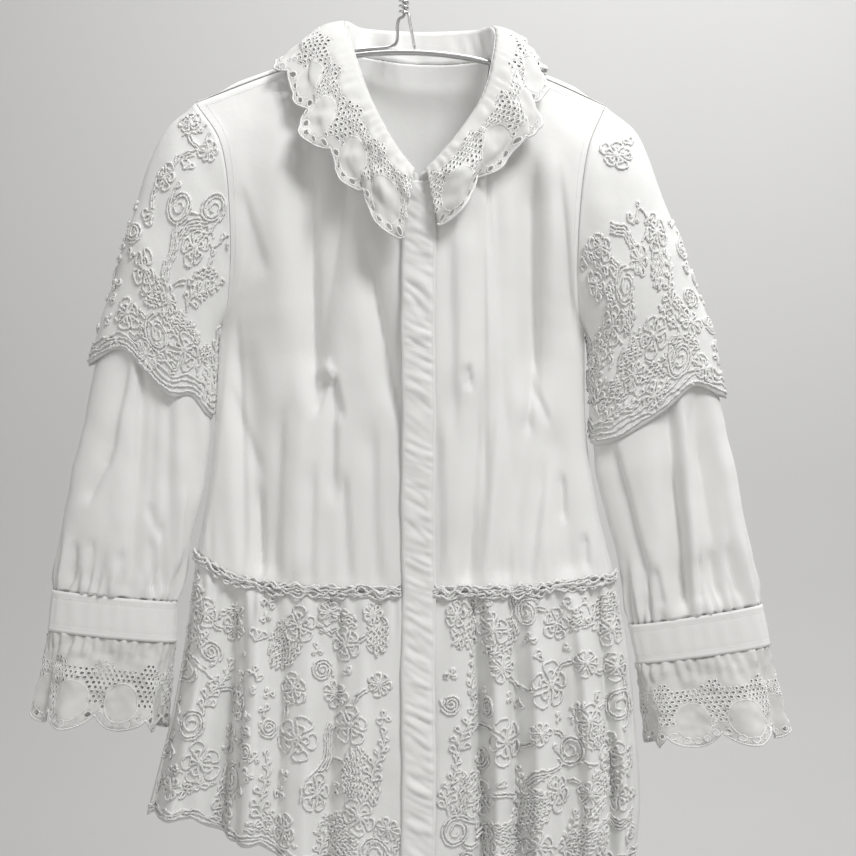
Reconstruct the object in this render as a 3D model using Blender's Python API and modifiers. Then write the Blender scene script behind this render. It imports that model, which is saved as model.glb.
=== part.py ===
"""Embroidered blouse on a wire hanger, modelled as its separate sewn pieces.

Metres, +Z up. The front faces -Y and the wearer's right is at -X. The origin is the
underside of the hook's crown, where a rail carries the hanger. Every cloth piece is an
open surface through named edges, with its folds, given its wall by Solidify.
"""
import math

import bmesh
import bpy
from mathutils import Vector
from mathutils.geometry import delaunay_2d_cdt

# Cloth walls and the room between them
WALL = 0.0012           # plain cotton, as built
LACE_WALL = 0.0011
CUFF_WALL = 0.0018
BAND_WALL = 0.0018      # the folded button band
SEAM = 0.0009           # between middle surfaces that meet edge to edge

# The blouse's main sizes
CENTRE_X = 0.014        # line where the two fronts meet under the button band
CENTRE_GAP = 0.0005     # each front stops this far from that line
BAND_WIDTH = 0.031
BAND_TOP = -0.2535
PUCKER_DEPTH = 0.0008
PUCKER_RATE, PUCKER_DRIFT_RATE = 331.0, 47.0    # radians a metre down the button band
PUCKER_DRIFT = 1.3      # radians the puckers run ahead or lag
HEM_Z = -0.900
SIDE_HALF_GAP = 0.0009  # front and back keep this far from the side seam's plane
BAND_STAND_OFF = 0.0033 # from the fronts' middle surface to the band's

# Edges of the fronts and back. Each row: station along the edge, x, y, z
SIDE_SEAM = {
    "right": ((0.0, -0.1965, 0.0, -0.5970), (0.3, -0.1848, 0.0, -0.5330),
              (0.6, -0.1790, 0.0, -0.4700), (1.0, -0.1745, 0.0, -0.3840)),
    "left": ((0.0, 0.1990, 0.0, -0.6165), (0.3, 0.1830, 0.0, -0.5530),
             (0.6, 0.1725, 0.0, -0.4800), (1.0, 0.1710, 0.0, -0.3860)),
}
ARMHOLE_FRONT = {
    "right": ((0.0, -0.1745, 0.0, -0.3840), (0.2, -0.1645, -0.0160, -0.3550),
              (0.5, -0.1605, -0.0330, -0.2850), (0.78, -0.1690, -0.0300, -0.2150),
              (1.0, -0.1965, -0.0060, -0.1710)),
    "left": ((0.0, 0.1710, 0.0, -0.3860), (0.2, 0.1635, -0.0160, -0.3570),
             (0.5, 0.1625, -0.0330, -0.2880), (0.78, 0.1710, -0.0300, -0.2200),
             (1.0, 0.1900, -0.0060, -0.1740)),
}
ARMHOLE_BACK = {
    "right": ((0.0, -0.1745, 0.0, -0.3840), (0.2, -0.1620, 0.0140, -0.3550),
              (0.5, -0.1560, 0.0260, -0.2850), (0.78, -0.1680, 0.0240, -0.2150),
              (0.92, -0.1890, 0.0110, -0.1770), (1.0, -0.1965, -0.0055, -0.1695)),
    "left": ((0.0, 0.1710, 0.0, -0.3860), (0.2, 0.1605, 0.0140, -0.3570),
             (0.5, 0.1580, 0.0260, -0.2880), (0.78, 0.1680, 0.0240, -0.2200),
             (0.92, 0.1835, 0.0110, -0.1790), (1.0, 0.1900, -0.0055, -0.1725)),
}
SHOULDER = {
    "right": ((0.0, -0.1965, -0.0060, -0.1710), (0.5, -0.1280, -0.0065, -0.1450),
              (1.0, -0.0561, -0.0060, -0.1210)),
    "left": ((0.0, 0.1900, -0.0060, -0.1740), (0.5, 0.1390, -0.0065, -0.1510),
             (1.0, 0.0836, -0.0060, -0.1280)),
}
NECK_FRONT = {
    "right": ((0.0, -0.0561, -0.0060, -0.1210), (0.35, -0.0510, -0.0270, -0.1500),
              (0.68, -0.0320, -0.0440, -0.1960), (1.0, 0.0135, -0.0555, -0.2475)),
    "left": ((0.0, 0.0836, -0.0060, -0.1280), (0.3, 0.0835, -0.0270, -0.1550),
             (0.6, 0.0725, -0.0430, -0.1900), (0.82, 0.0460, -0.0520, -0.2250),
             (1.0, 0.0145, -0.0555, -0.2475)),
}
CENTRE_FRONT = ((0.0, 0.0, -0.0360, -0.6290), (0.3, 0.0, -0.0410, -0.5200),
                (0.6, 0.0, -0.0480, -0.4000), (1.0, 0.0, -0.0555, -0.2475))
WAIST_FRONT = {
    "right": ((0.0, -0.1965, 0.0, -0.5970), (0.07, -0.1900, -0.0130, -0.6010),
              (0.25, -0.1580, -0.0250, -0.6180), (0.55, -0.0950, -0.0330, -0.6275),
              (1.0, 0.0135, -0.0360, -0.6290)),
    "left": ((0.0, 0.1990, 0.0, -0.6165), (0.07, 0.1930, -0.0130, -0.6185),
             (0.25, 0.1600, -0.0250, -0.6230), (0.55, 0.1040, -0.0330, -0.6280),
             (1.0, 0.0145, -0.0360, -0.6290)),
}
CENTRE_BACK = ((0.0, 0.0, 0.0340, -0.6230), (0.4, 0.0, 0.0370, -0.4300),
               (0.8, 0.0, 0.0410, -0.2200), (1.0, 0.0, 0.0430, -0.1240))
WAIST_BACK = {
    "right": ((0.0, -0.1965, 0.0, -0.5970), (0.08, -0.1890, 0.0125, -0.6000),
              (0.30, -0.1450, 0.0240, -0.6100), (1.0, 0.0140, 0.0340, -0.6230)),
    "left": ((0.0, 0.1990, 0.0, -0.6165), (0.08, 0.1920, 0.0125, -0.6185),
             (0.30, 0.1510, 0.0240, -0.6220), (1.0, 0.0140, 0.0340, -0.6230)),
}
NECK_BACK = {
    "right": ((0.0, -0.0561, -0.0055, -0.1195), (0.4, -0.0460, 0.0230, -0.1190),
              (1.0, 0.0140, 0.0430, -0.1240)),
    "left": ((0.0, 0.0836, -0.0055, -0.1265), (0.4, 0.0740, 0.0230, -0.1250),
             (1.0, 0.0140, 0.0430, -0.1240)),
}

# The back turns over the shoulder to a seam on the front face
RIDGE_RISE = 0.0040
RIDGE_REACH = 0.0110    # how far the cloth moves back within the ridge
RIDGE_SPAN = 0.027      # share of the back's height that the ridge takes
SHOULDER_HEIGHT = 0.455     # from the waist to the shoulder, along the back

# Where the shoulder meets the neck, as a share of the panels' columns
FRONT_COLUMNS, FRONT_NECK_COLUMN = 14, 8
BACK_COLUMNS, BACK_NECK_COLUMN = 18, 6
FRONT_ROUNDNESS, BACK_ROUNDNESS = 0.0100, 0.0080
FRONT_ROWS = 12

# Folds of the bodice. Each row: x and z of the upper end, x and z of the lower end,
# half-width, depth (a minus sign makes a ridge)
BODICE_FOLDS = {
    "front_right": ((-0.0625, -0.2830, -0.0690, -0.5165, 0.013, 0.0065),
                    (-0.0250, -0.3100, -0.0040, -0.4480, 0.012, 0.0040),
                    (-0.1530, -0.3880, -0.1290, -0.6130, 0.014, 0.0085),
                    (-0.0930, -0.4300, -0.1000, -0.6200, 0.014, -0.0055),
                    (-0.1180, -0.2100, -0.1120, -0.3900, 0.016, -0.0045)),
    "front_left": ((0.1000, -0.2400, 0.1050, -0.4400, 0.014, 0.0120),
                   (0.0890, -0.4400, 0.0600, -0.6280, 0.012, 0.0075),
                   (0.1200, -0.4600, 0.0900, -0.6280, 0.012, 0.0065),
                   (0.1400, -0.4800, 0.1550, -0.6200, 0.013, 0.0060),
                   (0.0600, -0.3000, 0.0480, -0.4400, 0.015, -0.0045),
                   (0.1350, -0.2200, 0.1350, -0.3900, 0.014, -0.0040)),
    "back": ((-0.0950, -0.2000, -0.1050, -0.6000, 0.016, -0.0070),
             (-0.0350, -0.3000, -0.0500, -0.6150, 0.015, -0.0055),
             (0.0300, -0.2200, 0.0200, -0.4600, 0.014, -0.0045),
             (0.0750, -0.3600, 0.0650, -0.6200, 0.015, -0.0075),
             (0.1250, -0.2300, 0.1300, -0.5600, 0.016, -0.0060)),
}

# The sleeve as rings from armhole to cuff. Each row: station, outer x and z,
# inner x and z, half-depth
SLEEVE_RINGS = {
    "right": ((0.00, -0.1965, -0.1710, -0.1745, -0.3840, 0.034),
              (0.10, -0.2310, -0.2080, -0.1778, -0.3865, 0.035),
              (0.22, -0.2536, -0.2756, -0.1800, -0.3935, 0.034),
              (0.34, -0.2717, -0.3421, -0.1812, -0.4045, 0.031),
              (0.46, -0.2888, -0.4039, -0.1822, -0.4248, 0.029),
              (0.58, -0.3030, -0.4704, -0.1848, -0.4856, 0.028),
              (0.72, -0.3164, -0.5322, -0.1915, -0.5464, 0.027),
              (0.86, -0.3259, -0.5891, -0.2061, -0.6034, 0.024),
              (1.00, -0.3325, -0.6310, -0.2166, -0.6423, 0.016)),
    "left": ((0.00, 0.1900, -0.1740, 0.1710, -0.3860, 0.034),
             (0.10, 0.2210, -0.2050, 0.1745, -0.3885, 0.035),
             (0.22, 0.2451, -0.2661, 0.1768, -0.3970, 0.034),
             (0.34, 0.2660, -0.3231, 0.1785, -0.4096, 0.031),
             (0.46, 0.2850, -0.3896, 0.1790, -0.4324, 0.029),
             (0.58, 0.3002, -0.4561, 0.1800, -0.4894, 0.028),
             (0.72, 0.3145, -0.5179, 0.1885, -0.5464, 0.027),
             (0.86, 0.3277, -0.5891, 0.2065, -0.6110, 0.024),
             (1.00, 0.3382, -0.6452, 0.2147, -0.6642, 0.016)),
}
CUFF_RINGS = {
    "right": ((0.0, -0.3325, -0.6320, -0.2166, -0.6433, 0.016),
              (1.0, -0.3362, -0.6685, -0.2175, -0.6800, 0.015)),
    "left": ((0.0, 0.3384, -0.6462, 0.2147, -0.6652, 0.016),
             (1.0, 0.3455, -0.6830, 0.2215, -0.7000, 0.015)),
}
FRILL_RINGS = {
    "right": ((0.0, -0.3362, -0.6694, -0.2175, -0.6809, 0.015),
              (0.5, -0.3430, -0.7070, -0.2235, -0.7200, 0.021),
              (1.0, -0.3530, -0.7540, -0.2310, -0.7640, 0.027)),
    "left": ((0.0, 0.3455, -0.6839, 0.2215, -0.7009, 0.015),
             (0.5, 0.3550, -0.7260, 0.2275, -0.7380, 0.021),
             (1.0, 0.3660, -0.7690, 0.2340, -0.7790, 0.027)),
}
ARMHOLE_GAP = 0.0013    # from the armhole's edge to the sleeve's
ARMHOLE_BLEND = 0.26    # stations over which the armhole's own shape fades out
SLEEVE_SQUARENESS = 0.86    # under 1 flattens the rings' front and back

# Hem of the corded upper sleeve. Each row: angle from the outer edge over the front
# in degrees, station of the hem there
UPPER_HEM = {
    "right": ((0, 0.490), (28, 0.478), (62, 0.452), (84, 0.480), (112, 0.520),
              (135, 0.514), (158, 0.540), (180, 0.548)),
    "left": ((0, 0.572), (26, 0.560), (56, 0.534), (78, 0.552), (104, 0.574),
             (130, 0.590), (155, 0.592), (180, 0.580)),
}
UPPER_OUT = 0.0026      # the upper sleeve lies this far outside the lower one
UPPER_FLARE = 0.0045    # how far the hem's outer tip stands off
LOWER_UNDER = 0.045     # stations that the lower sleeve runs up under that hem

# Long folds of the lower sleeves. Each row: angle in degrees, upper station, lower
# station, half-width in degrees, depth
SLEEVE_FOLDS = {
    "right": ((50, 0.56, 0.90, 16, 0.0050), (95, 0.60, 0.95, 13, 0.0042),
              (140, 0.50, 0.92, 14, 0.0055), (220, 0.55, 0.92, 15, 0.0048),
              (275, 0.62, 0.95, 14, 0.0042), (325, 0.55, 0.90, 14, 0.0040)),
    "left": ((40, 0.62, 0.92, 14, 0.0042), (88, 0.62, 0.97, 14, 0.0052),
             (130, 0.60, 0.95, 13, 0.0050), (215, 0.60, 0.93, 15, 0.0046),
             (268, 0.64, 0.95, 13, 0.0048), (318, 0.60, 0.92, 15, 0.0042)),
}
CUFF_GATHERS = 12
GATHER_START = 0.80
GATHER_DEPTH = 0.0028

# Peplum. Each row: station, x, y, z
PEPLUM_SIDE = {
    "right": ((0.0, -0.1965, 0.0, -0.5980), (0.4, -0.2090, 0.0, -0.6900),
              (0.65, -0.2215, 0.0, -0.7560), (1.0, -0.2440, 0.0, -0.8450)),
    "left": ((0.0, 0.1990, 0.0, -0.6175), (0.3, 0.2125, 0.0, -0.6890),
             (0.55, 0.2190, 0.0, -0.7554), (0.85, 0.2240, 0.0, -0.8314),
             (1.0, 0.2195, 0.0, -0.8850)),
}
HEM_FRONT = {
    "right": ((0.0, -0.2440, 0.0, -0.8450), (0.07, -0.2350, -0.0180, -0.8350),
              (0.25, -0.1950, -0.0360, -0.8390), (0.55, -0.1200, -0.0450, -0.8650),
              (1.0, 0.0135, -0.0480, HEM_Z)),
    "left": ((0.0, 0.2195, 0.0, -0.8850), (0.07, 0.2110, -0.0180, -0.8830),
             (0.25, 0.1800, -0.0360, -0.8860), (0.55, 0.1100, -0.0450, -0.8940),
             (1.0, 0.0145, -0.0480, HEM_Z)),
}
CENTRE_PEPLUM = ((0.0, 0.0, -0.0360, -0.6300), (0.5, 0.0, -0.0430, -0.7600),
                 (1.0, 0.0, -0.0480, HEM_Z))
HEM_BACK = ((0.0, -0.2440, 0.0, -0.8450), (0.05, -0.2340, 0.0180, -0.8370),
            (0.16, -0.1850, 0.0340, -0.8480), (0.5, 0.0140, 0.0440, -0.9020),
            (0.84, 0.1800, 0.0340, -0.8880), (0.95, 0.2110, 0.0180, -0.8840),
            (1.0, 0.2195, 0.0, -0.8850))
HEM_SCALLOPS_FRONT = 4
HEM_SCALLOPS_BACK = 8
HEM_SCALLOP_DEPTH = 0.008

# Folds of the peplum. Each row: station at the waist, station at the hem, half-width,
# depth at the hem (a minus sign makes a ridge)
PEPLUM_FOLDS = {
    "front_right": ((0.05, 0.07, 0.030, 0.0080), (0.14, 0.16, 0.034, -0.0070),
                    (0.23, 0.27, 0.034, 0.0170), (0.34, 0.38, 0.040, -0.0080),
                    (0.45, 0.50, 0.038, 0.0070), (0.58, 0.61, 0.040, -0.0060),
                    (0.70, 0.72, 0.036, 0.0075), (0.80, 0.81, 0.034, -0.0050)),
    "front_left": ((0.07, 0.08, 0.032, 0.0070), (0.17, 0.20, 0.034, 0.0130),
                   (0.27, 0.30, 0.036, -0.0080), (0.38, 0.40, 0.036, 0.0060),
                   (0.49, 0.50, 0.036, -0.0070), (0.58, 0.59, 0.032, 0.0120),
                   (0.67, 0.67, 0.030, -0.0060), (0.76, 0.75, 0.030, 0.0130)),
    "back": ((0.06, 0.06, 0.022, 0.0070), (0.13, 0.12, 0.024, -0.0090),
             (0.20, 0.20, 0.024, 0.0100), (0.28, 0.27, 0.025, -0.0080),
             (0.36, 0.36, 0.025, 0.0110), (0.44, 0.43, 0.025, -0.0090),
             (0.52, 0.52, 0.024, 0.0090), (0.60, 0.61, 0.026, -0.0100),
             (0.69, 0.69, 0.024, 0.0110), (0.77, 0.78, 0.024, -0.0080),
             (0.85, 0.86, 0.024, 0.0090), (0.93, 0.94, 0.022, -0.0060)),
}

# Corded edge over the waist seam
CORD_RADIUS = 0.0021
CORD_WAVE = 0.0016
CORD_GAP = 0.0010
CORD_BACK_GAP = 0.0009
CORD_WAVES_FRONT = 7
CORD_WAVES_BACK = 13

# Collar from the wearer's right front end round the back to the left front end.
# Each row: station, then x, y, z of the roll line and of the scallops' line
COLLAR = ((0.000, 0.0115, -0.0600, -0.2440, -0.0136, -0.0640, -0.2930),
          (0.050, -0.0060, -0.0560, -0.2210, -0.0400, -0.0640, -0.2680),
          (0.128, -0.0300, -0.0450, -0.1740, -0.0760, -0.0600, -0.2220),
          (0.209, -0.0470, -0.0260, -0.1240, -0.1040, -0.0440, -0.1730),
          (0.281, -0.0560, 0.0000, -0.0925, -0.1150, -0.0060, -0.1275),
          (0.385, -0.0390, 0.0320, -0.0895, -0.0780, 0.0470, -0.1520),
          (0.510, 0.0140, 0.0450, -0.0890, 0.0140, 0.0520, -0.1640),
          (0.644, 0.0660, 0.0320, -0.0910, 0.1040, 0.0470, -0.1560),
          (0.745, 0.0850, 0.0000, -0.0980, 0.1310, -0.0060, -0.1360),
          (0.818, 0.0830, -0.0260, -0.1320, 0.1270, -0.0440, -0.1830),
          (0.900, 0.0700, -0.0450, -0.1780, 0.0990, -0.0600, -0.2340),
          (0.951, 0.0430, -0.0560, -0.2180, 0.0700, -0.0640, -0.2590),
          (1.000, 0.0195, -0.0600, -0.2440, 0.0428, -0.0640, -0.2820))
COLLAR_PARTS = (("collar_lace_right", 0, 5), ("collar_lace_back", 5, 7),
                ("collar_lace_left", 12, 5))
COLLAR_SCALLOPS = 17
COLLAR_RIGHT_ROW, COLLAR_LEFT_ROW = 4, 8    # rows at the shoulder seams
STAND_GAP = 0.0013      # from the neck seam to the stand's lower edge
STAND_END = 0.02        # the stand's ends stop this share short of the centre line
COLLAR_LIFT = 0.0075    # how far the fall rolls up and out before it turns down
COLLAR_RUFFLE = 0.0030
COLLAR_PART_GAP = 0.0006
COLLAR_STAND_OFF = 0.0022   # the fall starts this far outside the stand

# Scalloped eyelet lace, laid flat
SCALLOP_PITCH = 0.0440
SCALLOP_DIP = 0.0100
EYELET_RADIUS = 0.0025
EYELET_SIDES = 5
EYELETS_PER_SCALLOP = 4
EYELET_INSET = 0.0062
FRILL_SCALLOPS = 4      # on each half of a cuff
FRILL_WIDTH = 0.0850
FRILL_WAVES = 2.5
FRILL_WAVE_DEPTH = 0.0080
COLLAR_WIDTH = 0.0760

# Hanger
WIRE_RADIUS = 0.0016
TWIST_WIRE_RADIUS = 0.00144
BAR_RADIUS = 0.0028
HOOK_RADIUS = 0.0180    # inside the hook
TWIST_TURNS = 4
TWIST_TOP = -0.0640
TWIST_BOTTOM = -0.0850
# Middle line of the shoulder bar. Each row: x, z
BAR_LINE = ((-0.1860, -0.1715), (-0.1550, -0.1590), (-0.1200, -0.1460), (-0.0850, -0.1342),
            (-0.0520, -0.1253), (-0.0200, -0.1218), (0.0120, -0.1216), (0.0450, -0.1243),
            (0.0800, -0.1309), (0.1150, -0.1444), (0.1500, -0.1596), (0.1800, -0.1733))
# Legs of the hook wire and of the wrapped wire. Each row: x, z
LEFT_LEG = ((0.0, -0.0860), (-0.0045, -0.0895), (-0.0062, -0.0960), (-0.0064, -0.1080),
            (-0.0085, -0.1135), (-0.0150, -0.1164), (-0.0300, -0.1178), (-0.0500, -0.1198))
RIGHT_LEG = ((0.0046, -0.0858), (0.0056, -0.0930), (0.0076, -0.1040), (0.0094, -0.1140),
             (0.0104, -0.1181))


def ease(value):
    """Smooth step from 0 to 1."""
    value = min(1.0, max(0.0, value))
    return value * value * (3.0 - 2.0 * value)


def along(rows, station):
    """Read a table of (station, value, value, ...) rows on a smooth curve."""
    last = len(rows) - 1
    index = 0
    while index < last - 1 and station > rows[index + 1][0]:
        index += 1
    start, end = rows[index], rows[index + 1]
    before, after = rows[max(index - 1, 0)], rows[min(index + 2, last)]
    span = end[0] - start[0]
    t = (station - start[0]) / span
    result = []
    for column in range(1, len(start)):
        slope_in = (end[column] - before[column]) / (end[0] - before[0]) * span
        slope_out = (after[column] - start[column]) / (after[0] - start[0]) * span
        result.append((2 * t ** 3 - 3 * t ** 2 + 1) * start[column]
                      + (t ** 3 - 2 * t ** 2 + t) * slope_in
                      + (3 * t ** 2 - 2 * t ** 3) * end[column]
                      + (t ** 3 - t ** 2) * slope_out)
    return result


def edge_point(rows, station):
    """A point of an edge table."""
    return Vector(along(rows, station))


def dense_start(count, power=1.35):
    """Stations from 0 to 1 that lie closer at the start, where the panel turns its side."""
    return [(index / count) ** power for index in range(count + 1)]


def dense_ends(count, strength=0.5):
    """Stations from 0 to 1 that lie closer at both ends."""
    return [index / count - strength * math.sin(math.tau * index / count) / math.tau
            for index in range(count + 1)]


def even(count):
    """Even stations from 0 to 1."""
    return [index / count for index in range(count + 1)]


def coons(bottom, top, start, end):
    """A smooth surface between four edges that meet at their corners."""
    def point(u, v):
        ruled = (1 - v) * bottom(u) + v * top(u) + (1 - u) * start(v) + u * end(v)
        corners = ((1 - u) * (1 - v) * bottom(0) + u * (1 - v) * bottom(1)
                   + (1 - u) * v * top(0) + u * v * top(1))
        return ruled - corners
    return point


def fold_depth(point, folds):
    """Depth of all straight folds at a point of a hanging panel."""
    depth = 0.0
    for top_x, top_z, low_x, low_z, width, fold in folds:
        run = Vector((low_x - top_x, low_z - top_z))
        offset = Vector((point.x - top_x, point.z - top_z))
        share = offset.dot(run) / run.length_squared
        across = (offset - run * share).length
        length_fade = ease((share + 0.15) / 0.3) * ease((1.15 - share) / 0.3)
        depth += fold * math.exp(-(across / width) ** 2) * length_fade
    return depth


def make_material(name, colour, roughness, metallic=0.0):
    """A plain material."""
    material = bpy.data.materials.new(name)
    material.use_nodes = True
    shader = material.node_tree.nodes["Principled BSDF"]
    shader.inputs["Base Color"].default_value = (*colour, 1.0)
    shader.inputs["Roughness"].default_value = roughness
    shader.inputs["Metallic"].default_value = metallic
    material.diffuse_color = (*colour, 1.0)
    return material


def add_object(name, data, material, collection):
    """Link a mesh or curve as a named object with its material."""
    data.materials.append(material)
    item = bpy.data.objects.new(name, data)
    collection.objects.link(item)
    return item


def give_wall(item, thickness):
    """Turn an open surface into a closed wall with the surface in its middle."""
    wall = item.modifiers.new("Wall", "SOLIDIFY")
    wall.thickness = thickness
    wall.offset = 0.0


def cloth_grid(name, point, columns, rows, material, collection, wall=WALL, tube=False):
    """A cloth piece on a grid of stations, with point(u, v) as its middle surface."""
    mesh = bpy.data.meshes.new(name)
    bm = bmesh.new()
    across, up = len(columns) - 1, len(rows) - 1
    bmesh.ops.create_grid(bm, x_segments=across, y_segments=up, size=0.5)
    for vert in bm.verts:
        u = columns[round((vert.co.x + 0.5) * across)]
        v = rows[round((vert.co.y + 0.5) * up)]
        vert.co = point(u, v)
    if tube:
        bmesh.ops.remove_doubles(bm, verts=bm.verts, dist=1e-6)
    bm.to_mesh(mesh)
    bm.free()
    mesh.shade_smooth()
    item = add_object(name, mesh, material, collection)
    give_wall(item, wall)
    return item


def scallop_edge(share, width):
    """Width of the lace at a share of one scallop."""
    return width - SCALLOP_DIP * (1.0 - math.sin(math.pi * share) ** 0.75)


def lace_strip(name, point, scallops, width, material, collection):
    """Lace cut from its flat pattern, with point(along, across) as its middle surface."""
    edge_steps = 5
    outline = [Vector((0.0, 0.0)), Vector((0.0, width / 2))]
    outline += [Vector((step / edge_steps * SCALLOP_PITCH,
                        scallop_edge(step / edge_steps % 1.0, width)))
                for step in range(scallops * edge_steps + 1)]
    outline.append(Vector((scallops * SCALLOP_PITCH, width / 2)))
    outline += [Vector((step * SCALLOP_PITCH / 2, 0.0)) for step in range(scallops * 2, 0, -1)]
    points = list(outline)
    edges = [(index, (index + 1) % len(outline)) for index in range(len(outline))]
    centres = []
    for scallop in range(scallops):
        for eyelet in range(EYELETS_PER_SCALLOP):
            share = (eyelet + 0.5) / EYELETS_PER_SCALLOP
            share += 0.04 * (0.5 - share)
            centres.append(Vector(((scallop + share) * SCALLOP_PITCH,
                                   scallop_edge(share, width) - EYELET_INSET)))
    for centre in centres:
        first = len(points)
        for side in range(EYELET_SIDES):
            angle = math.tau * side / EYELET_SIDES + math.pi / 2
            points.append(centre + EYELET_RADIUS * Vector((math.cos(angle), math.sin(angle))))
            edges.append((first + side, first + (side + 1) % EYELET_SIDES))
    for step in range(1, scallops * 2):
        for share in (0.12, 0.3, 0.52, 0.74):
            points.append(Vector((step * SCALLOP_PITCH / 2, share * width)))
    flat, _, faces, _, _, _ = delaunay_2d_cdt(points, edges, [], 1, 1e-7)
    mesh = bpy.data.meshes.new(name)
    bm = bmesh.new()
    verts = [bm.verts.new(point(place.x, place.y)) for place in flat]
    for face in faces:
        middle = sum((flat[index] for index in face), Vector((0.0, 0.0))) / len(face)
        if all((middle - centre).length > EYELET_RADIUS * 0.8 for centre in centres):
            bm.faces.new([verts[index] for index in face])
    bmesh.ops.delete(bm, geom=[vert for vert in bm.verts if not vert.link_faces], context="VERTS")
    bm.to_mesh(mesh)
    bm.free()
    item = add_object(name, mesh, material, collection)
    give_wall(item, LACE_WALL)
    return item


def wire(name, points, radius, material, collection, sides_resolution=2):
    """A round wire through points, with closed ends."""
    curve = bpy.data.curves.new(name, "CURVE")
    curve.dimensions = "3D"
    curve.bevel_depth = radius
    curve.bevel_resolution = sides_resolution
    curve.use_fill_caps = True
    spline = curve.splines.new("POLY")
    spline.points.add(len(points) - 1)
    for item, place in zip(spline.points, points):
        item.co = (*place, 1.0)
    return add_object(name, curve, material, collection)


def side_sign(side):
    """-1 on the wearer's right, 1 on the left."""
    return -1.0 if side == "right" else 1.0


def centre_line(rows, side, station):
    """The middle edge of a front, on its own side of the centre line."""
    x, y, z = along(rows, station)
    return Vector((x + CENTRE_X + side_sign(side) * CENTRE_GAP, y, z))


def front_surface(side):
    """The middle surface of one front."""
    columns = dense_start(FRONT_COLUMNS)
    corner = columns[FRONT_NECK_COLUMN]

    def bottom(u):
        return edge_point(WAIST_FRONT[side], u)

    def top(u):
        if u <= corner:
            return edge_point(SHOULDER[side], u / corner)
        return edge_point(NECK_FRONT[side], (u - corner) / (1 - corner))

    def outer(v):
        if v <= 0.5:
            return edge_point(SIDE_SEAM[side], v * 2)
        return edge_point(ARMHOLE_FRONT[side], v * 2 - 1)

    def middle(v):
        return centre_line(CENTRE_FRONT, side, v)

    base = coons(bottom, top, outer, middle)

    def point(u, v):
        place = base(u, v)
        fade = ease(u / 0.12) * ease((1 - u) / 0.1) * ease((1 - v) / 0.1) * ease(v / 0.04)
        place.y += fold_depth(place, BODICE_FOLDS["front_" + side]) * fade
        place.y -= FRONT_ROUNDNESS * roundness(u, v)
        place.y -= side_seam_gap(u, v)
        return place
    return point, columns


def roundness(u, v):
    """How far a panel bows out between its edges, level where it meets them."""
    return math.sin(math.pi * u) ** 2 * math.sin(math.pi * v)


def side_seam_gap(u, v):
    """How far a panel keeps from the side seam's plane, fading out up the armhole."""
    return SIDE_HALF_GAP * (1 - ease(u / 0.05)) * ease((0.66 - v) / 0.16)


def back_half(side, corner):
    """The back's middle surface from one side seam to the centre, u from 0 to 1."""
    def bottom(u):
        return edge_point(WAIST_BACK[side], u)

    def top(u):
        if u <= corner:
            return edge_point(SHOULDER[side], u / corner) + Vector((0, 0.0005, 0.0015))
        return edge_point(NECK_BACK[side], (u - corner) / (1 - corner))

    def outer(v):
        if v <= 0.5:
            return edge_point(SIDE_SEAM[side], v * 2)
        return edge_point(ARMHOLE_BACK[side], v * 2 - 1)

    def middle(v):
        x, y, z = along(CENTRE_BACK, v)
        return Vector((x + CENTRE_X, y, z))

    return coons(bottom, top, outer, middle)


def back_surface():
    """The middle surface of the back, with its turn over the shoulders."""
    columns = dense_ends(BACK_COLUMNS)
    corner = columns[BACK_NECK_COLUMN] * 2
    halves = {side: back_half(side, corner) for side in ("right", "left")}

    def point(u, v):
        side = "right" if u <= 0.5 else "left"
        near = 2 * min(u, 1 - u)
        place = halves[side](near, v)
        fade = ease(near / 0.2) * ease((1 - v) / 0.15) * ease(v / 0.04)
        place.y -= fold_depth(place, BODICE_FOLDS["back"]) * fade
        place.y += BACK_ROUNDNESS * roundness(near, v)
        ridge = ease((corner - near) / 0.06 + 0.65) * ease(near / 0.06)
        turn = min(1.0, (1 - v) / RIDGE_SPAN)
        settle = ridge * (1 - ease((1 - v - RIDGE_SPAN) / (7 * RIDGE_SPAN)))
        place.y += RIDGE_REACH * turn * settle
        place.z += (turn * RIDGE_SPAN * SHOULDER_HEIGHT
                    + RIDGE_RISE * math.sin(math.pi * turn)) * settle
        place.y += side_seam_gap(near, v)
        return place
    return point, columns


def back_rows():
    """Stations of the back's rows, closer together in the turn over the shoulder."""
    return even(FRONT_ROWS)[:-1] + [0.955, 0.98, 1.0]


def chord_point(rows, stations, station):
    """A point on the straight steps that an edge takes between a panel's rows."""
    index = 0
    while index < len(stations) - 2 and station > stations[index + 1]:
        index += 1
    share = (station - stations[index]) / (stations[index + 1] - stations[index])
    return edge_point(rows, stations[index]).lerp(edge_point(rows, stations[index + 1]), share)


def armhole_point(side, angle):
    """A point of the armhole, from the shoulder over the front to the underarm and back."""
    if angle <= math.pi:
        stations = [row * 2 - 1 for row in even(FRONT_ROWS) if row >= 0.5]
        return chord_point(ARMHOLE_FRONT[side], stations, 1 - angle / math.pi)
    stations = [row * 2 - 1 for row in back_rows() if row >= 0.5]
    return chord_point(ARMHOLE_BACK[side], stations, angle / math.pi - 1)


def ring_point(rows, station, angle, out=0.0):
    """A point of a flattened ring; out moves it away from the ring's middle."""
    outer_x, outer_z, inner_x, inner_z, depth = along(rows, station)
    middle = Vector(((outer_x + inner_x) / 2, 0.0, (outer_z + inner_z) / 2))
    half = Vector(((outer_x - inner_x) / 2, 0.0, (outer_z - inner_z) / 2))
    reach = half.length
    cos, sin = math.cos(angle), math.sin(angle)
    across = math.copysign(abs(sin) ** SLEEVE_SQUARENESS, sin)
    return middle + half * (cos * (1 + out / reach)) - Vector((0, (depth + out) * across, 0))


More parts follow.
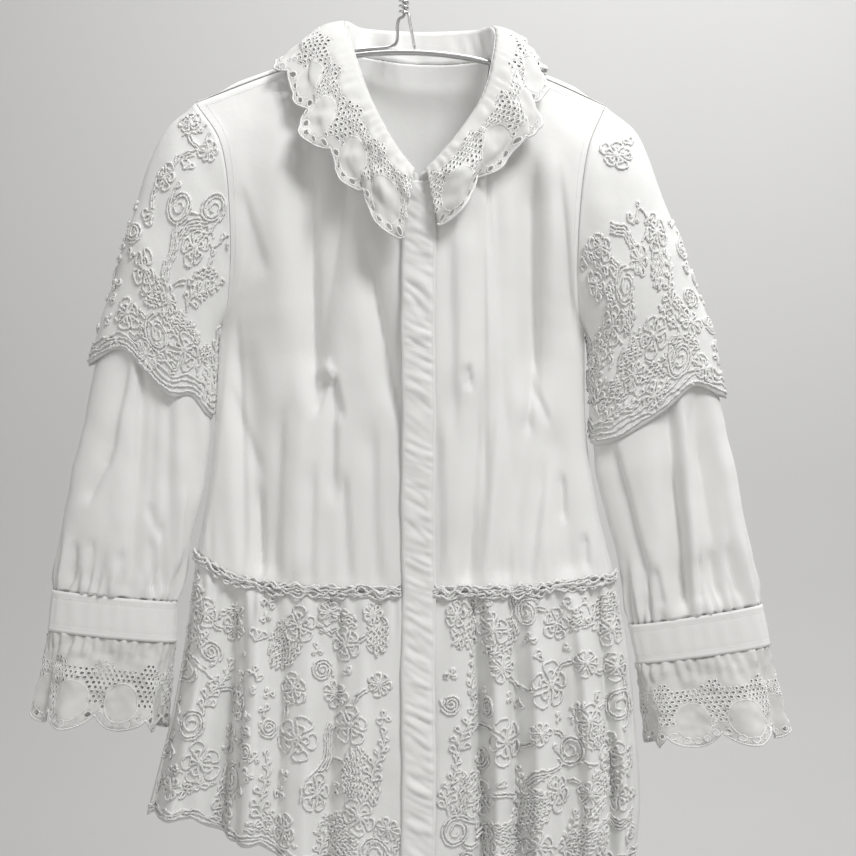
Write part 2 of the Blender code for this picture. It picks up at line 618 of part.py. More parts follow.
def sleeve_point(side, station, angle, out=0.0):
    """The sleeve's surface; it starts in the armhole's shape and turns into rings."""
    rows = SLEEVE_RINGS[side]
    place = ring_point(rows, station, angle, out)
    keep = 1 - ease(station / ARMHOLE_BLEND)
    return place + (armhole_point(side, angle) - ring_point(rows, 0.0, angle)) * keep


def upper_hem(side, angle):
    """Station of the upper sleeve's scalloped hem, alike on its front and back."""
    degrees = math.degrees(angle)
    return along(UPPER_HEM[side], min(degrees, 360 - degrees))[0]


def upper_sleeve(side):
    """Surface of the corded upper sleeve, from the armhole to its scalloped hem."""
    def point(u, v):
        angle = math.tau * (u % 1.0)
        if v == 0.0:
            start = armhole_point(side, angle)
            ahead = (sleeve_point(side, 0.05, angle) - start).normalized()
            outward = Vector((side_sign(side), 0, 0))
            return start + (ahead + outward).normalized() * ARMHOLE_GAP
        tip = math.exp(-(min(angle, math.tau - angle) / 0.5) ** 2)
        out = UPPER_OUT * ease(v * 4) + UPPER_FLARE * tip * v ** 3
        return sleeve_point(side, v * upper_hem(side, angle), angle, out)
    return point


def lower_sleeve(side):
    """Surface of the plain lower sleeve, from under that hem to the gathers at the cuff."""
    def point(u, v):
        angle = math.tau * (u % 1.0)
        start = upper_hem(side, angle) - LOWER_UNDER
        station = start + (1 - start) * v
        degrees = math.degrees(angle)
        out = 0.0
        for at, top, low, width, depth in SLEEVE_FOLDS[side]:
            apart = (degrees - at) / width
            fade = ease((station - top) / 0.08) * ease((low - station) / 0.08)
            out -= depth * math.exp(-apart ** 2) * fade
        rise = ease((station - GATHER_START) / 0.12) * ease((1 - station) / 0.05 + 0.12)
        out += GATHER_DEPTH * rise * math.cos(CUFF_GATHERS * angle)
        return sleeve_point(side, station, angle, out)
    return point


def cuff(side):
    """Surface of the cuff band."""
    def point(u, v):
        return ring_point(CUFF_RINGS[side], v, math.tau * (u % 1.0), 0.0)
    return point


def cuff_frill(side, half):
    """Surface of one half of the cuff's lace frill, from its flat pattern."""
    length = FRILL_SCALLOPS * SCALLOP_PITCH
    margin = 0.010

    def point(run, down):
        share = margin + (1 - 2 * margin) * run / length
        angle = math.pi * (share + half)
        station = down / FRILL_WIDTH
        phase = math.tau * FRILL_WAVES * share + (0.6 if half else 2.2)
        ends = ease(share / 0.08) * ease((1 - share) / 0.08)
        out = FRILL_WAVE_DEPTH * station * math.sin(phase) * ends
        return ring_point(FRILL_RINGS[side], station, angle, out)
    return point


def peplum_surface(bottom_rows, top, outer, inner, folds, scallops, outward):
    """A peplum panel that hangs from the waist in folds to a scalloped hem."""
    def hem(u):
        return edge_point(bottom_rows, u)

    base = coons(hem, top, outer, inner)

    def point(u, v):
        place = base(u, v)
        drop = 1 - v
        ends = ease(u / 0.06) * ease((1 - u) / 0.08)
        depth = 0.0
        for waist, low, width, fold in folds:
            at = waist + (low - waist) * drop
            depth += fold * math.exp(-((u - at) / width) ** 2)
        place.y -= outward * depth * ends * (0.3 * ease(drop / 0.06) + 0.7 * ease(drop * 1.4))
        near = u if outward < 0 else min(u, 1 - u)
        place.y += outward * SIDE_HALF_GAP * (1 - ease(near / 0.05)) * 0.8
        place.z -= HEM_SCALLOP_DEPTH * abs(math.sin(math.pi * scallops * u)) * ease((drop - 0.7) / 0.3)
        return place
    return point


def waist_front(side):
    """The waist edge of one front, from its side seam to the centre."""
    return lambda u: edge_point(WAIST_FRONT[side], u)


def waist_round(u):
    """The waist edge of the back, from the right side seam to the left."""
    side = "right" if u <= 0.5 else "left"
    return edge_point(WAIST_BACK[side], 2 * min(u, 1 - u))


def below(place):
    """A waist point moved down to the peplum's own edge."""
    return place - Vector((0, 0, SEAM))


def peplum_front(side):
    """Surface of one front of the peplum."""
    return peplum_surface(
        HEM_FRONT[side],
        lambda u: below(waist_front(side)(u)),
        lambda v: edge_point(PEPLUM_SIDE[side], 1 - v),
        lambda v: centre_line(CENTRE_PEPLUM, side, 1 - v),
        PEPLUM_FOLDS["front_" + side], HEM_SCALLOPS_FRONT, -1.0)


def peplum_back():
    """Surface of the peplum's back."""
    return peplum_surface(
        HEM_BACK,
        lambda u: below(waist_round(u)),
        lambda v: edge_point(PEPLUM_SIDE["right"], 1 - v),
        lambda v: edge_point(PEPLUM_SIDE["left"], 1 - v),
        PEPLUM_FOLDS["back"], HEM_SCALLOPS_BACK, 1.0)


def centre_depth(z):
    """y of the fronts' centre line at a height, over bodice and peplum."""
    rows = [(row[3], row[2]) for row in reversed(CENTRE_PEPLUM[1:])]
    rows += [(row[3], row[2]) for row in CENTRE_FRONT]
    return along(rows, z)[0]


def button_band(u, v):
    """Surface of the button band, puckered between its two rows of stitches."""
    z = HEM_Z + (BAND_TOP - HEM_Z) * v
    middle = 1 - abs(2 * u - 1)
    phase = z * PUCKER_RATE + PUCKER_DRIFT * math.sin(z * PUCKER_DRIFT_RATE)
    pucker = PUCKER_DEPTH * middle * math.sin(phase)
    return Vector((CENTRE_X + (u - 0.5) * BAND_WIDTH,
                   centre_depth(z) - BAND_STAND_OFF - pucker, z))


def neck_edge(station):
    """The neck seam from the right front end round the back to the left front end."""
    if station < 0.3:
        return edge_point(NECK_FRONT["right"], 1 - station / 0.3)
    if station <= 0.5:
        return edge_point(NECK_BACK["right"], (station - 0.3) / 0.2)
    if station <= 0.7:
        return edge_point(NECK_BACK["left"], (0.7 - station) / 0.2)
    return edge_point(NECK_FRONT["left"], (station - 0.7) / 0.3)


def roll_line(station):
    """The stand's top edge, at stations of the neck seam."""
    right, left = COLLAR[COLLAR_RIGHT_ROW][0], COLLAR[COLLAR_LEFT_ROW][0]
    if station < 0.3:
        at = station / 0.3 * right
    elif station <= 0.7:
        at = right + (station - 0.3) / 0.4 * (left - right)
    else:
        at = left + (station - 0.7) / 0.3 * (1 - left)
    return Vector(along(COLLAR, at)[:3])


def stand_surface(u, v):
    """Surface of the collar stand, from just inside the neck seam to the roll line."""
    station = STAND_END + (1 - 2 * STAND_END) * u
    seam = neck_edge(station)
    run = (neck_edge(station + 0.01) - neck_edge(station - 0.01)).normalized()
    inward = Vector((CENTRE_X, seam.y, seam.z + 0.045)) - seam
    inward -= run * inward.dot(run)
    foot = seam + inward.normalized() * STAND_GAP
    return foot.lerp(roll_line(station), v)


def collar_fall(first_scallop, scallops):
    """Surface of the turned-down lace from its flat pattern, from one scallop on."""
    length = scallops * SCALLOP_PITCH
    before = COLLAR_PART_GAP if first_scallop else 0.0
    after = COLLAR_PART_GAP if first_scallop + scallops < COLLAR_SCALLOPS else 0.0

    def point(run, down):
        inner = before + run * (length - before - after) / length
        station = (first_scallop * SCALLOP_PITCH + inner) / (COLLAR_SCALLOPS * SCALLOP_PITCH)
        values = along(COLLAR, station)
        roll, edge = Vector(values[:3]), Vector(values[3:])
        outward = Vector((roll.x - CENTRE_X, roll.y + 0.005, 0.0)).normalized()
        share = down / COLLAR_WIDTH
        bulge = COLLAR_LIFT * math.sin(math.pi * min(1.0, share * 1.1) ** 0.7)
        wave = COLLAR_RUFFLE * share * math.sin(math.pi * station * COLLAR_SCALLOPS)
        away = outward * (COLLAR_STAND_OFF + 0.6 * bulge + wave)
        return roll.lerp(edge, share) + away + Vector((0, 0, 0.8 * bulge))
    return point


def waist_cord_points(waist, start, end, count, waves, outward, gap=CORD_GAP):
    """Points of the corded edge, laid in small waves over the waist seam."""
    points = []
    for index in range(count + 1):
        u = start + (end - start) * index / count
        place = waist(u)
        stand_off = WALL / 2 + CORD_RADIUS + gap
        ahead = waist(min(1.0, u + 0.01)) - waist(max(0.0, u - 0.01))
        normal = Vector((ahead.y, -ahead.x, 0.0)).normalized()
        if normal.y * outward < 0:
            normal.negate()
        lift = CORD_WAVE * math.sin(math.tau * waves * u)
        points.append(place + normal * stand_off + Vector((0, 0, lift - SEAM / 2)))
    return points


def hook_points():
    """Middle line of the hook wire: tip, crown, stem, left leg and its bend along the bar."""
    reach = HOOK_RADIUS + WIRE_RADIUS
    centre = Vector((0.0, 0.0, -HOOK_RADIUS))
    points = [centre + reach * Vector((math.cos(angle), 0.0, math.sin(angle)))
              for angle in (math.radians(200 - 15 * step) for step in range(17))]
    stem = ((0.0040, -0.0500), (0.0008, -0.0570), (0.0, -0.0640), (0.0, -0.0750))
    points += [Vector((x, 0.0, z)) for x, z in stem]
    points += [Vector((x, 0.0, z)) for x, z in LEFT_LEG]
    return points


def twist_points():
    """Middle line of the wrapped wire: turns round the stem, then the right leg."""
    turns, per_turn = TWIST_TURNS, 8
    reach = 2 * WIRE_RADIUS + 0.0004
    points = []
    for step in range(turns * per_turn + 1):
        angle = math.tau * step / per_turn
        share = step / (turns * per_turn)
        height = TWIST_TOP + (TWIST_BOTTOM - TWIST_TOP) * share
        points.append(Vector((reach * math.cos(angle), reach * math.sin(angle), height)))
    points += [Vector((x, 0.0, z)) for x, z in RIGHT_LEG]
    return points


def clear_scene():
    """Remove what the file opens with."""
    for item in list(bpy.data.objects):
        bpy.data.objects.remove(item, do_unlink=True)


def build_bodice(cotton, voile, blouse):
    """Fronts, back, peplum, button band and the corded waist edge."""
    for side in ("right", "left"):
        surface, columns = front_surface(side)
        cloth_grid("front_" + side, surface, columns, even(FRONT_ROWS), cotton, blouse)
        cloth_grid("peplum_front_" + side, peplum_front(side), dense_start(26, 1.15), even(5),
                   voile, blouse)
    surface, columns = back_surface()
    cloth_grid("back", surface, columns, back_rows(), cotton, blouse)
    cloth_grid("peplum_back", peplum_back(), dense_ends(36, 0.25), even(5), voile, blouse)
    cloth_grid("placket", button_band, even(2), even(36), cotton, blouse, wall=BAND_WALL)
    for side in ("right", "left"):
        points = waist_cord_points(waist_front(side), 0.02, 0.915, 18, CORD_WAVES_FRONT, -1.0)
        wire("waist_edge_" + side, points, CORD_RADIUS, voile, blouse, sides_resolution=1)
    points = waist_cord_points(waist_round, 0.035, 0.965, 36, CORD_WAVES_BACK, 1.0,
                               CORD_BACK_GAP)
    wire("waist_edge_back", points, CORD_RADIUS, voile, blouse, sides_resolution=1)


def build_sleeves(cotton, voile, lace, blouse):
    """Both sleeves with their cuffs and frills."""
    for side in ("right", "left"):
        cloth_grid("sleeve_upper_" + side, upper_sleeve(side), even(24), even(6), voile, blouse,
                   tube=True)
        cloth_grid("sleeve_lower_" + side, lower_sleeve(side), even(36), even(7), cotton, blouse,
                   tube=True)
        cloth_grid("cuff_" + side, cuff(side), even(24), even(1), cotton, blouse,
                   wall=CUFF_WALL, tube=True)
        for half, face in enumerate(("front", "back")):
            lace_strip(f"cuff_lace_{side}_{face}", cuff_frill(side, half), FRILL_SCALLOPS,
                       FRILL_WIDTH, lace, blouse)


def build_collar(cotton, lace, blouse):
    """The stand and the turned-down lace."""
    cloth_grid("collar_stand", stand_surface, even(28), even(1), cotton, blouse)
    for name, first, scallops in COLLAR_PARTS:
        lace_strip(name, collar_fall(first, scallops), scallops, COLLAR_WIDTH, lace, blouse)


def build_hanger(chrome, blouse):
    """The hook wire, the wrapped wire and the shoulder bar."""
    wire("hanger_hook", hook_points(), WIRE_RADIUS, chrome, blouse)
    wire("hanger_twist", twist_points(), TWIST_WIRE_RADIUS, chrome, blouse, sides_resolution=1)
    bar = [Vector((x, 0.0, z)) for x, z in BAR_LINE]
    wire("hanger_bar", bar, BAR_RADIUS, chrome, blouse)


def main():
    """Build every piece."""
    clear_scene()
    blouse = bpy.data.collections.new("Embroidered blouse")
    bpy.context.scene.collection.children.link(blouse)
    cotton = make_material("White cotton", (0.80, 0.80, 0.78), 0.85)
    voile = make_material("Corded voile", (0.76, 0.77, 0.76), 0.85)
    lace = make_material("Eyelet lace", (0.82, 0.82, 0.80), 0.85)
    chrome = make_material("Chrome", (0.62, 0.62, 0.63), 0.15, 1.0)
    build_bodice(cotton, voile, blouse)
    build_sleeves(cotton, voile, lace, blouse)
    build_collar(cotton, lace, blouse)
    build_hanger(chrome, blouse)


main()
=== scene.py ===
"""Embroidered blouse on a wire hanger: cloth, corded embroidery, eyelet lace and chrome.

Metres, +Z up, the front faces -Y and the wearer's right is at -X. Every cloth piece is a
thin shell on the form of the solid that it stands for, with its listed creases laid on.
Cords, stitches and eyelet rings are laid on those shells.
"""
from __future__ import annotations

import logging
import math
from bisect import bisect_right
from dataclasses import dataclass, field
from enum import Enum
from typing import Any, Callable, Iterable, Sequence

import bmesh
import bpy
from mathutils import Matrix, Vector, noise
from mathutils.geometry import delaunay_2d_cdt

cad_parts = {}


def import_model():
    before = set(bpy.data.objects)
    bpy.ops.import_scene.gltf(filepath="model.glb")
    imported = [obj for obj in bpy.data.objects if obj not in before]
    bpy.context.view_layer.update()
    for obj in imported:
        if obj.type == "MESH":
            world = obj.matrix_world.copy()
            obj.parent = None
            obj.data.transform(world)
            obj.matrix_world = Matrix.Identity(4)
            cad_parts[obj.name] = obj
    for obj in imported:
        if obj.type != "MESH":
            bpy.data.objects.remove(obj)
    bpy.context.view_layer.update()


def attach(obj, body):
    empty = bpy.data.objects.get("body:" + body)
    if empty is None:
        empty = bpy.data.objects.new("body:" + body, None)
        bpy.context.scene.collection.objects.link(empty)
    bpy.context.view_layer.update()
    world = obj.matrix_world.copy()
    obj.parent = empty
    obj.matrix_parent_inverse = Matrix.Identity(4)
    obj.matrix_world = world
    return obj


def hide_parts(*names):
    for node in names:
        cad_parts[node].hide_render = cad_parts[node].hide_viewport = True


LOG = logging.getLogger("blouse")
BODY = "root"

Rows = tuple[tuple[float, ...], ...]
Surface = Callable[[float, float], Vector]
Edge = Callable[[float], Vector]
Flat = tuple[float, float]
Stroke = list[Flat]
Colour = tuple[float, float, float]

CORD_PITCH = 0.0029
NOISE_SEED = 7
CRINKLE_RATE = 330.0
STITCH_SAMPLES = 48
STITCH_LIFT = 0.0001
SCATTER_U, SCATTER_V = 0.7548776662, 0.5698402910
OFF_CLOTH = (-1.0, -1.0)
STILL = Vector()


class Side(Enum):
    """The wearer's sides."""

    RIGHT = "right"
    LEFT = "left"

    @property
    def sign(self) -> float:
        """-1 towards the wearer's right, 1 towards the left."""
        return -1.0 if self is Side.RIGHT else 1.0


class Motif(Enum):
    """Traditional forms of corded embroidery."""

    FLOWER = "flower"
    DAISY = "daisy"
    SPIRAL = "spiral"
    LEAF = "leaf"
    SPRIG = "sprig"
    TRAIL = "trail"
    BUD = "bud"
    CLOUD = "cloud"
    BAND = "band"


FLOWER, DAISY, SPIRAL, LEAF, SPRIG, TRAIL, BUD, CLOUD, BAND = Motif


def ease(value: float) -> float:
    """Smooth step from 0 to 1."""
    value = min(1.0, max(0.0, value))
    return value * value * (3.0 - 2.0 * value)


def along(rows: Rows, station: float) -> list[float]:
    """Read a table of (station, value, value, ...) rows on a smooth curve.

    Args:
        rows: the table, in order of station.
        station: where to read it.

    Returns:
        One value for each column after the station.
    """
    last = len(rows) - 1
    index = 0
    while index < last - 1 and station > rows[index + 1][0]:
        index += 1
    start, end = rows[index], rows[index + 1]
    before, after = rows[max(index - 1, 0)], rows[min(index + 2, last)]
    span = end[0] - start[0]
    t = (station - start[0]) / span
    result = []
    for column in range(1, len(start)):
        slope_in = (end[column] - before[column]) / (end[0] - before[0]) * span
        slope_out = (after[column] - start[column]) / (after[0] - start[0]) * span
        result.append((2 * t ** 3 - 3 * t ** 2 + 1) * start[column]
                      + (t ** 3 - 2 * t ** 2 + t) * slope_in
                      + (3 * t ** 2 - 2 * t ** 3) * end[column]
                      + (t ** 3 - t ** 2) * slope_out)
    return result


def edge_point(rows: Rows, station: float) -> Vector:
    """A point of an edge table."""
    return Vector(along(rows, station))


def cornered(first: Rows, last: Rows, corner: float = 0.5, lift: Vector = STILL) -> Edge:
    """An edge of two tables.

    Args:
        first: the table up to the corner.
        last: the table after the corner.
        corner: the corner's station.
        lift: how far the first table is moved.

    Returns:
        The edge.
    """
    def point(station: float) -> Vector:
        """A point of the edge."""
        if station <= corner:
            return edge_point(first, station / corner) + lift
        return edge_point(last, (station - corner) / (1 - corner))
    return point


def hump(away: float, width: float) -> float:
    """A smooth hump of height 1."""
    return math.exp(-(away / width) ** 2)


def even(count: int) -> list[float]:
    """Even stations from 0 to 1."""
    return [index / count for index in range(count + 1)]


def dense_start(count: int, power: float = 1.35) -> list[float]:
    """Stations from 0 to 1 that lie closer at the start."""
    return [(index / count) ** power for index in range(count + 1)]


def dense_ends(count: int, strength: float = 0.5) -> list[float]:
    """Stations from 0 to 1 that lie closer at both ends."""
    return [index / count - strength * math.sin(math.tau * index / count) / math.tau
            for index in range(count + 1)]


def coons(bottom: Edge, top: Edge, start: Edge, end: Edge) -> Surface:
    """A smooth surface between four edges that meet at their corners.

    Args:
        bottom: the edge at v = 0.
        top: the edge at v = 1.
        start: the edge at u = 0.
        end: the edge at u = 1.

    Returns:
        The surface as a function of u and v.
    """
    def point(u: float, v: float) -> Vector:
        """A point of the surface."""
        ruled = (1 - v) * bottom(u) + v * top(u) + (1 - u) * start(v) + u * end(v)
        corners = ((1 - u) * (1 - v) * bottom(0) + u * (1 - v) * bottom(1)
                   + (1 - u) * v * top(0) + u * v * top(1))
        return ruled - corners
    return point


def softened(base: Surface, reach_u: Callable[[float, float], float],
             reach_v: Callable[[float, float], float]) -> Surface:
    """A surface whose kinks are rounded by averaging neighbouring places.

    Args:
        base: the surface.
        reach_u: how far to average across, at u and v.
        reach_v: how far to average along, at u and v.

    Returns:
        The rounded surface.
    """
    def point(u: float, v: float) -> Vector:
        """A point of the rounded surface."""
        du, dv = reach_u(u, v), reach_v(u, v)
        total = Vector()
        for step, share in ((-2, 0.12), (-1, 0.24), (0, 0.28), (1, 0.24), (2, 0.12)):
            total += base(u + step * du / 2, v + step * dv / 2) * share
        return total
    return point


def fold_depth(place: Vector, folds: Rows, lean: float = 0.0) -> float:
    """Depth of all straight folds at a point of a hanging panel.

    Args:
        place: the point.
        folds: rows of upper x and z, lower x and z, half-width and depth.
        lean: how much steeper a fold is on its right side than on its left, as a share.

    Returns:
        The depth, where a minus sign makes a ridge.
    """
    depth = 0.0
    for top_x, top_z, low_x, low_z, width, fold in folds:
        run_x, run_z = low_x - top_x, low_z - top_z
        off_x, off_z = place.x - top_x, place.z - top_z
        share = (off_x * run_x + off_z * run_z) / (run_x ** 2 + run_z ** 2)
        if -0.15 < share < 1.15:
            across = (off_z * run_x - off_x * run_z) / math.hypot(run_x, run_z)
            reach = width * (1 - math.copysign(lean, across * width))
            if abs(across) < 3 * abs(reach):
                fade = ease((share + 0.15) / 0.3) * ease((1.15 - share) / 0.3)
                depth += fold * hump(across, reach) * fade
    return depth


def rumple(place: Vector, size: float, depth: float) -> float:
    """Slight unevenness of worn cloth.

    Args:
        place: the point.
        size: how wide the hollows are, in metres.
        depth: how deep they are, in metres.

    Returns:
        The depth at the point.
    """
    return depth * noise.noise(Vector((place.x, place.y * 0.5, place.z * 0.6)) / size)


def worn(place: Vector, wear: Rows) -> float:
    """Unevenness of several sizes; each row of the table is a size and a depth."""
    return sum(rumple(place, size, depth) for size, depth in wear)


# Shader maths


class Signal:
    """A shader value that Python arithmetic works on."""

    def __init__(self, nodes: Nodes, socket: bpy.types.NodeSocket) -> None:
        """Keep the socket and the material's nodes."""
        self.nodes = nodes
        self.socket = socket

    def sum(self, other: Signal | float) -> Signal:
        """Sum."""
        return self.nodes.math("ADD", self, other)

    def product(self, other: Signal | float) -> Signal:
        """Product."""
        return self.nodes.math("MULTIPLY", self, other)

    def __sub__(self, other: Signal | float) -> Signal:
        """Difference."""
        return self.nodes.math("SUBTRACT", self, other)

    def __rsub__(self, other: Signal | float) -> Signal:
        """Difference, with the value on the right."""
        return self.nodes.math("SUBTRACT", other, self)

    __add__ = __radd__ = sum
    __mul__ = __rmul__ = product

    def clamped(self) -> Signal:
        """The value held between 0 and 1."""
        return self.nodes.out(self.nodes.node("ShaderNodeClamp", {}, {"Value": self}))


class Nodes:
    """Builds one material's nodes."""

    def __init__(self, name: str) -> None:
        """Make the material with its main shader."""
        self.material = bpy.data.materials.new(name)
        self.material.use_nodes = True
        self.tree = self.material.node_tree
        self.shader = self.tree.nodes["Principled BSDF"]

    def node(self, kind: str, settings: dict[str, Any], inputs: dict[Any, Any]) -> bpy.types.Node:
        """Add a node.

        Args:
            kind: the node's type.
            settings: its settings, made before the inputs.
            inputs: values or signals for its inputs.

        Returns:
            The node.
        """
        item = self.tree.nodes.new(kind)
        for key, value in settings.items():
            setattr(item, key, value)
        for key, value in inputs.items():
            self.feed(item.inputs[key], value)
        return item

    def feed(self, socket: bpy.types.NodeSocket, value: Any) -> None:
        """Link a signal to an input, or set its value."""
        if isinstance(value, Signal):
            self.tree.links.new(value.socket, socket)
        else:
            socket.default_value = value

    def out(self, node: bpy.types.Node, key: int | str = 0) -> Signal:
        """An output as a signal."""
        return Signal(self, node.outputs[key])

    def math(self, operation: str, first: Any, second: Any) -> Signal:
        """A Math node on two values."""
        return self.out(self.node("ShaderNodeMath", {"operation": operation},
                                  {0: first, 1: second}))

    def coordinates(self, output: str, scale: Sequence[float]) -> Signal:
        """Scaled coordinates.

        Args:
            output: Object or UV.
            scale: factors on the three axes.

        Returns:
            The vector.
        """
        source = self.out(self.node("ShaderNodeTexCoord", {}, {}), output)
        return self.out(self.node("ShaderNodeMapping", {}, {"Vector": source, "Scale": scale}))

    def noise(self, vector: Signal, scale: float, detail: float = 2.0) -> Signal:
        """A Noise Texture's value."""
        return self.out(self.node("ShaderNodeTexNoise", {},
                                  {"Vector": vector, "Scale": scale, "Detail": detail}))

    def mix(self, factor: Any, first: Sequence[float], second: Sequence[float]) -> Signal:
        """A mix of two colours."""
        node = self.node("ShaderNodeMix", {"data_type": "RGBA"},
                         {0: factor, 6: (*first, 1.0), 7: (*second, 1.0)})
        return self.out(node, 2)

    def bump(self, height: Signal, distance: float, strength: float,
             under: Signal | None = None) -> Signal:
        """A Bump node.

        Args:
            height: the height, about 0 to 1.
            distance: what a height of 1 stands for, in metres.
            strength: share of the bump that is used.
            under: the normal that it adds to.

        Returns:
            The normal.
        """
        inputs: dict[str, Any] = {"Height": height, "Distance": distance, "Strength": strength}
        if under is not None:
            inputs["Normal"] = under
        return self.out(self.node("ShaderNodeBump", {}, inputs))

    def finish(self, **sockets: Any) -> bpy.types.Material:
        """Feed the main shader's sockets and return the material."""
        for key, value in sockets.items():
            self.feed(self.shader.inputs[key.replace("_", " ")], value)
        return self.material


@dataclass(frozen=True)
class WovenFinish:
    """Matte woven cotton."""

    name: str
    colour: Colour
    # Colour of painted shade in the weave's hollows, also of random darker patches.
    painted_shade_and_tone: Colour
    thread: float = 0.00042
    thread_depth: float = 0.00010
    rumple_depth: float = 0.0011
    # Share of the painted weave shade in the colour mix; the rest is random darker patches.
    weave_shade_share: float = 0.35
    roughness: float = 0.86
    sheen: float = 0.12

    def material(self) -> bpy.types.Material:
        """Make the material: slubbed threads, slight rumples, random darker patches and painted shade in
        the weave's hollows.
        """
        nodes = Nodes(self.name)
        rate = 1.0 / self.thread
        warp = nodes.noise(nodes.coordinates("UV", (rate, rate / 26, 1.0)), 1.0, 1.0)
        weft = nodes.noise(nodes.coordinates("UV", (rate / 26, rate, 1.0)), 1.0, 1.0)
        threads = (warp + weft) * 0.5
        place = nodes.coordinates("Object", (1.0, 1.0, 1.0))
        broad = nodes.noise(place, 34.0, 3.0)
        fine = nodes.noise(place, 118.0, 2.0)
        patches = nodes.noise(place, 11.0, 2.0)
        # Painted shade: the weave's hollows, where the thread bump is low, are coloured darker, mixed
        # with random darker patches.
        tone = (threads * self.weave_shade_share + patches * (1.0 - self.weave_shade_share)).clamped()
        colour = nodes.mix(tone, self.painted_shade_and_tone, self.colour)
        soft = nodes.bump(broad * 0.65 + fine * 0.35, self.rumple_depth, 0.55)
        normal = nodes.bump(threads, self.thread_depth, 0.5, soft)
        rough = self.roughness + 0.06 * (patches - 0.5)
        return nodes.finish(Base_Color=colour, Roughness=rough, Normal=normal,
                            Sheen_Weight=self.sheen, Sheen_Roughness=0.5)


@dataclass(frozen=True)
class CordFinish:
    """Bright twisted cotton cord or stitching thread."""

    name: str
    colour: Colour = (0.90, 0.90, 0.885)
    # Colour of painted shade in the fibres' hollows, also of random darker patches.
    painted_shade_and_tone: Colour = (0.80, 0.80, 0.785)
    fibre: float = 0.0006

    def material(self) -> bpy.types.Material:
        """Make the material: soft fibres, a slightly uneven white and painted shade in the fibres'
        hollows.
        """
        nodes = Nodes(self.name)
        place = nodes.coordinates("Object", (1.0, 1.0, 1.0))
        fibres = nodes.noise(place, 1.0 / self.fibre, 2.0)
        patches = nodes.noise(place, 60.0, 2.0)
        # Painted shade: the fibres' hollows, where the fibre bump is low, are coloured darker, mixed with
        # random darker patches.
        colour = nodes.mix((fibres * 0.5 + patches * 0.5).clamped(), self.painted_shade_and_tone, self.colour)
        rough = 0.78 + 0.1 * (patches - 0.5)
        normal = nodes.bump(fibres, 0.00012, 0.5)
        return nodes.finish(Base_Color=colour, Roughness=rough, Normal=normal, Sheen_Weight=0.15)


@dataclass(frozen=True)
class ChromeFinish:
    """Polished chrome with fine rub marks."""

    name: str
    colour: Colour = (0.82, 0.82, 0.83)
    dull: Colour = (0.62, 0.62, 0.635)

    def material(self) -> bpy.types.Material:
        """Make the material: rubbed along its length, a little duller in places."""
        nodes = Nodes(self.name)
        rubs = nodes.noise(nodes.coordinates("Object", (90.0, 900.0, 900.0)), 1.0, 2.0)
        patches = nodes.noise(nodes.coordinates("Object", (1.0, 1.0, 1.0)), 60.0, 3.0)
        colour = nodes.mix(patches, self.dull, self.colour)
        rough = 0.12 + 0.14 * patches + 0.05 * rubs
        normal = nodes.bump(rubs, 0.00004, 0.35)
        return nodes.finish(Base_Color=colour, Roughness=rough, Normal=normal, Metallic=1.0)


@dataclass(frozen=True)
class StageFinish:
    """Pale painted wall and floor."""

    name: str
    colour: Colour = (0.600, 0.600, 0.594)
    mottle_tone: float = 0.975

    def material(self) -> bpy.types.Material:
        """Make the material: flat paint with faint mottling."""
        nodes = Nodes(self.name)
        mottle = nodes.noise(nodes.coordinates("Object", (1.0, 1.0, 1.0)), 2.2, 3.0)
        darker = tuple(value * self.mottle_tone for value in self.colour)
        colour = nodes.mix(mottle, darker, self.colour)
        return nodes.finish(Base_Color=colour, Roughness=0.9)


@dataclass
class Wardrobe:
    """The finishes, made once."""

    cotton: bpy.types.Material = field(default_factory=lambda: WovenFinish(
        "White cotton", (0.84, 0.84, 0.825), (0.80, 0.80, 0.79)).material())
    # The voile's hollow colour is greyer than the cotton's: painted shade of the dark inside that shows
    # through the sheer cloth.
    voile: bpy.types.Material = field(default_factory=lambda: WovenFinish(
        "Sheer voile", (0.84, 0.84, 0.825), (0.76, 0.765, 0.755), thread=0.00060,
        thread_depth=0.00016, weave_shade_share=0.6).material())
    # The lace's colours are set darker than the cotton's as painted shade of its crumpled folds and many
    # eyelets.
    lace: bpy.types.Material = field(default_factory=lambda: WovenFinish(
        "Eyelet lace", (0.71, 0.71, 0.69), (0.62, 0.62, 0.605), rumple_depth=0.0006).material())
    cord: bpy.types.Material = field(default_factory=lambda: CordFinish("White cord").material())
    thread: bpy.types.Material = field(default_factory=lambda: CordFinish(
        "White thread", (0.84, 0.84, 0.825), (0.76, 0.76, 0.75), 0.0003).material())
    chrome: bpy.types.Material = field(
        default_factory=lambda: ChromeFinish("Polished chrome").material())


# Shared ways of making pieces


def dress(item: bpy.types.Object, material: bpy.types.Material,
          replaced: Iterable[str] = ()) -> bpy.types.Object:
    """Give a piece its material and body.

    Args:
        item: the piece.
        material: its finish.
        replaced: CAD nodes that the piece stands for.

    Returns:
        The piece.
    """
    if not item.data.materials:
        item.data.materials.append(material)
    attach(item, BODY)
    nodes = list(replaced)
    if nodes:
        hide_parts(*nodes)
    LOG.info("%s: %d faces", item.name, len(item.data.polygons))
    return item


def add_object(name: str, data: bpy.types.ID) -> bpy.types.Object:
    """Add an object to the scene."""
    item = bpy.data.objects.new(name, data)
    bpy.context.scene.collection.objects.link(item)
    return item


def link_mesh(name: str, bm: bmesh.types.BMesh) -> bpy.types.Object:
    """Turn a bmesh into a smooth-shaded object."""
    mesh = bpy.data.meshes.new(name)
    bm.to_mesh(mesh)
    bm.free()
    mesh.shade_smooth()
    return add_object(name, mesh)


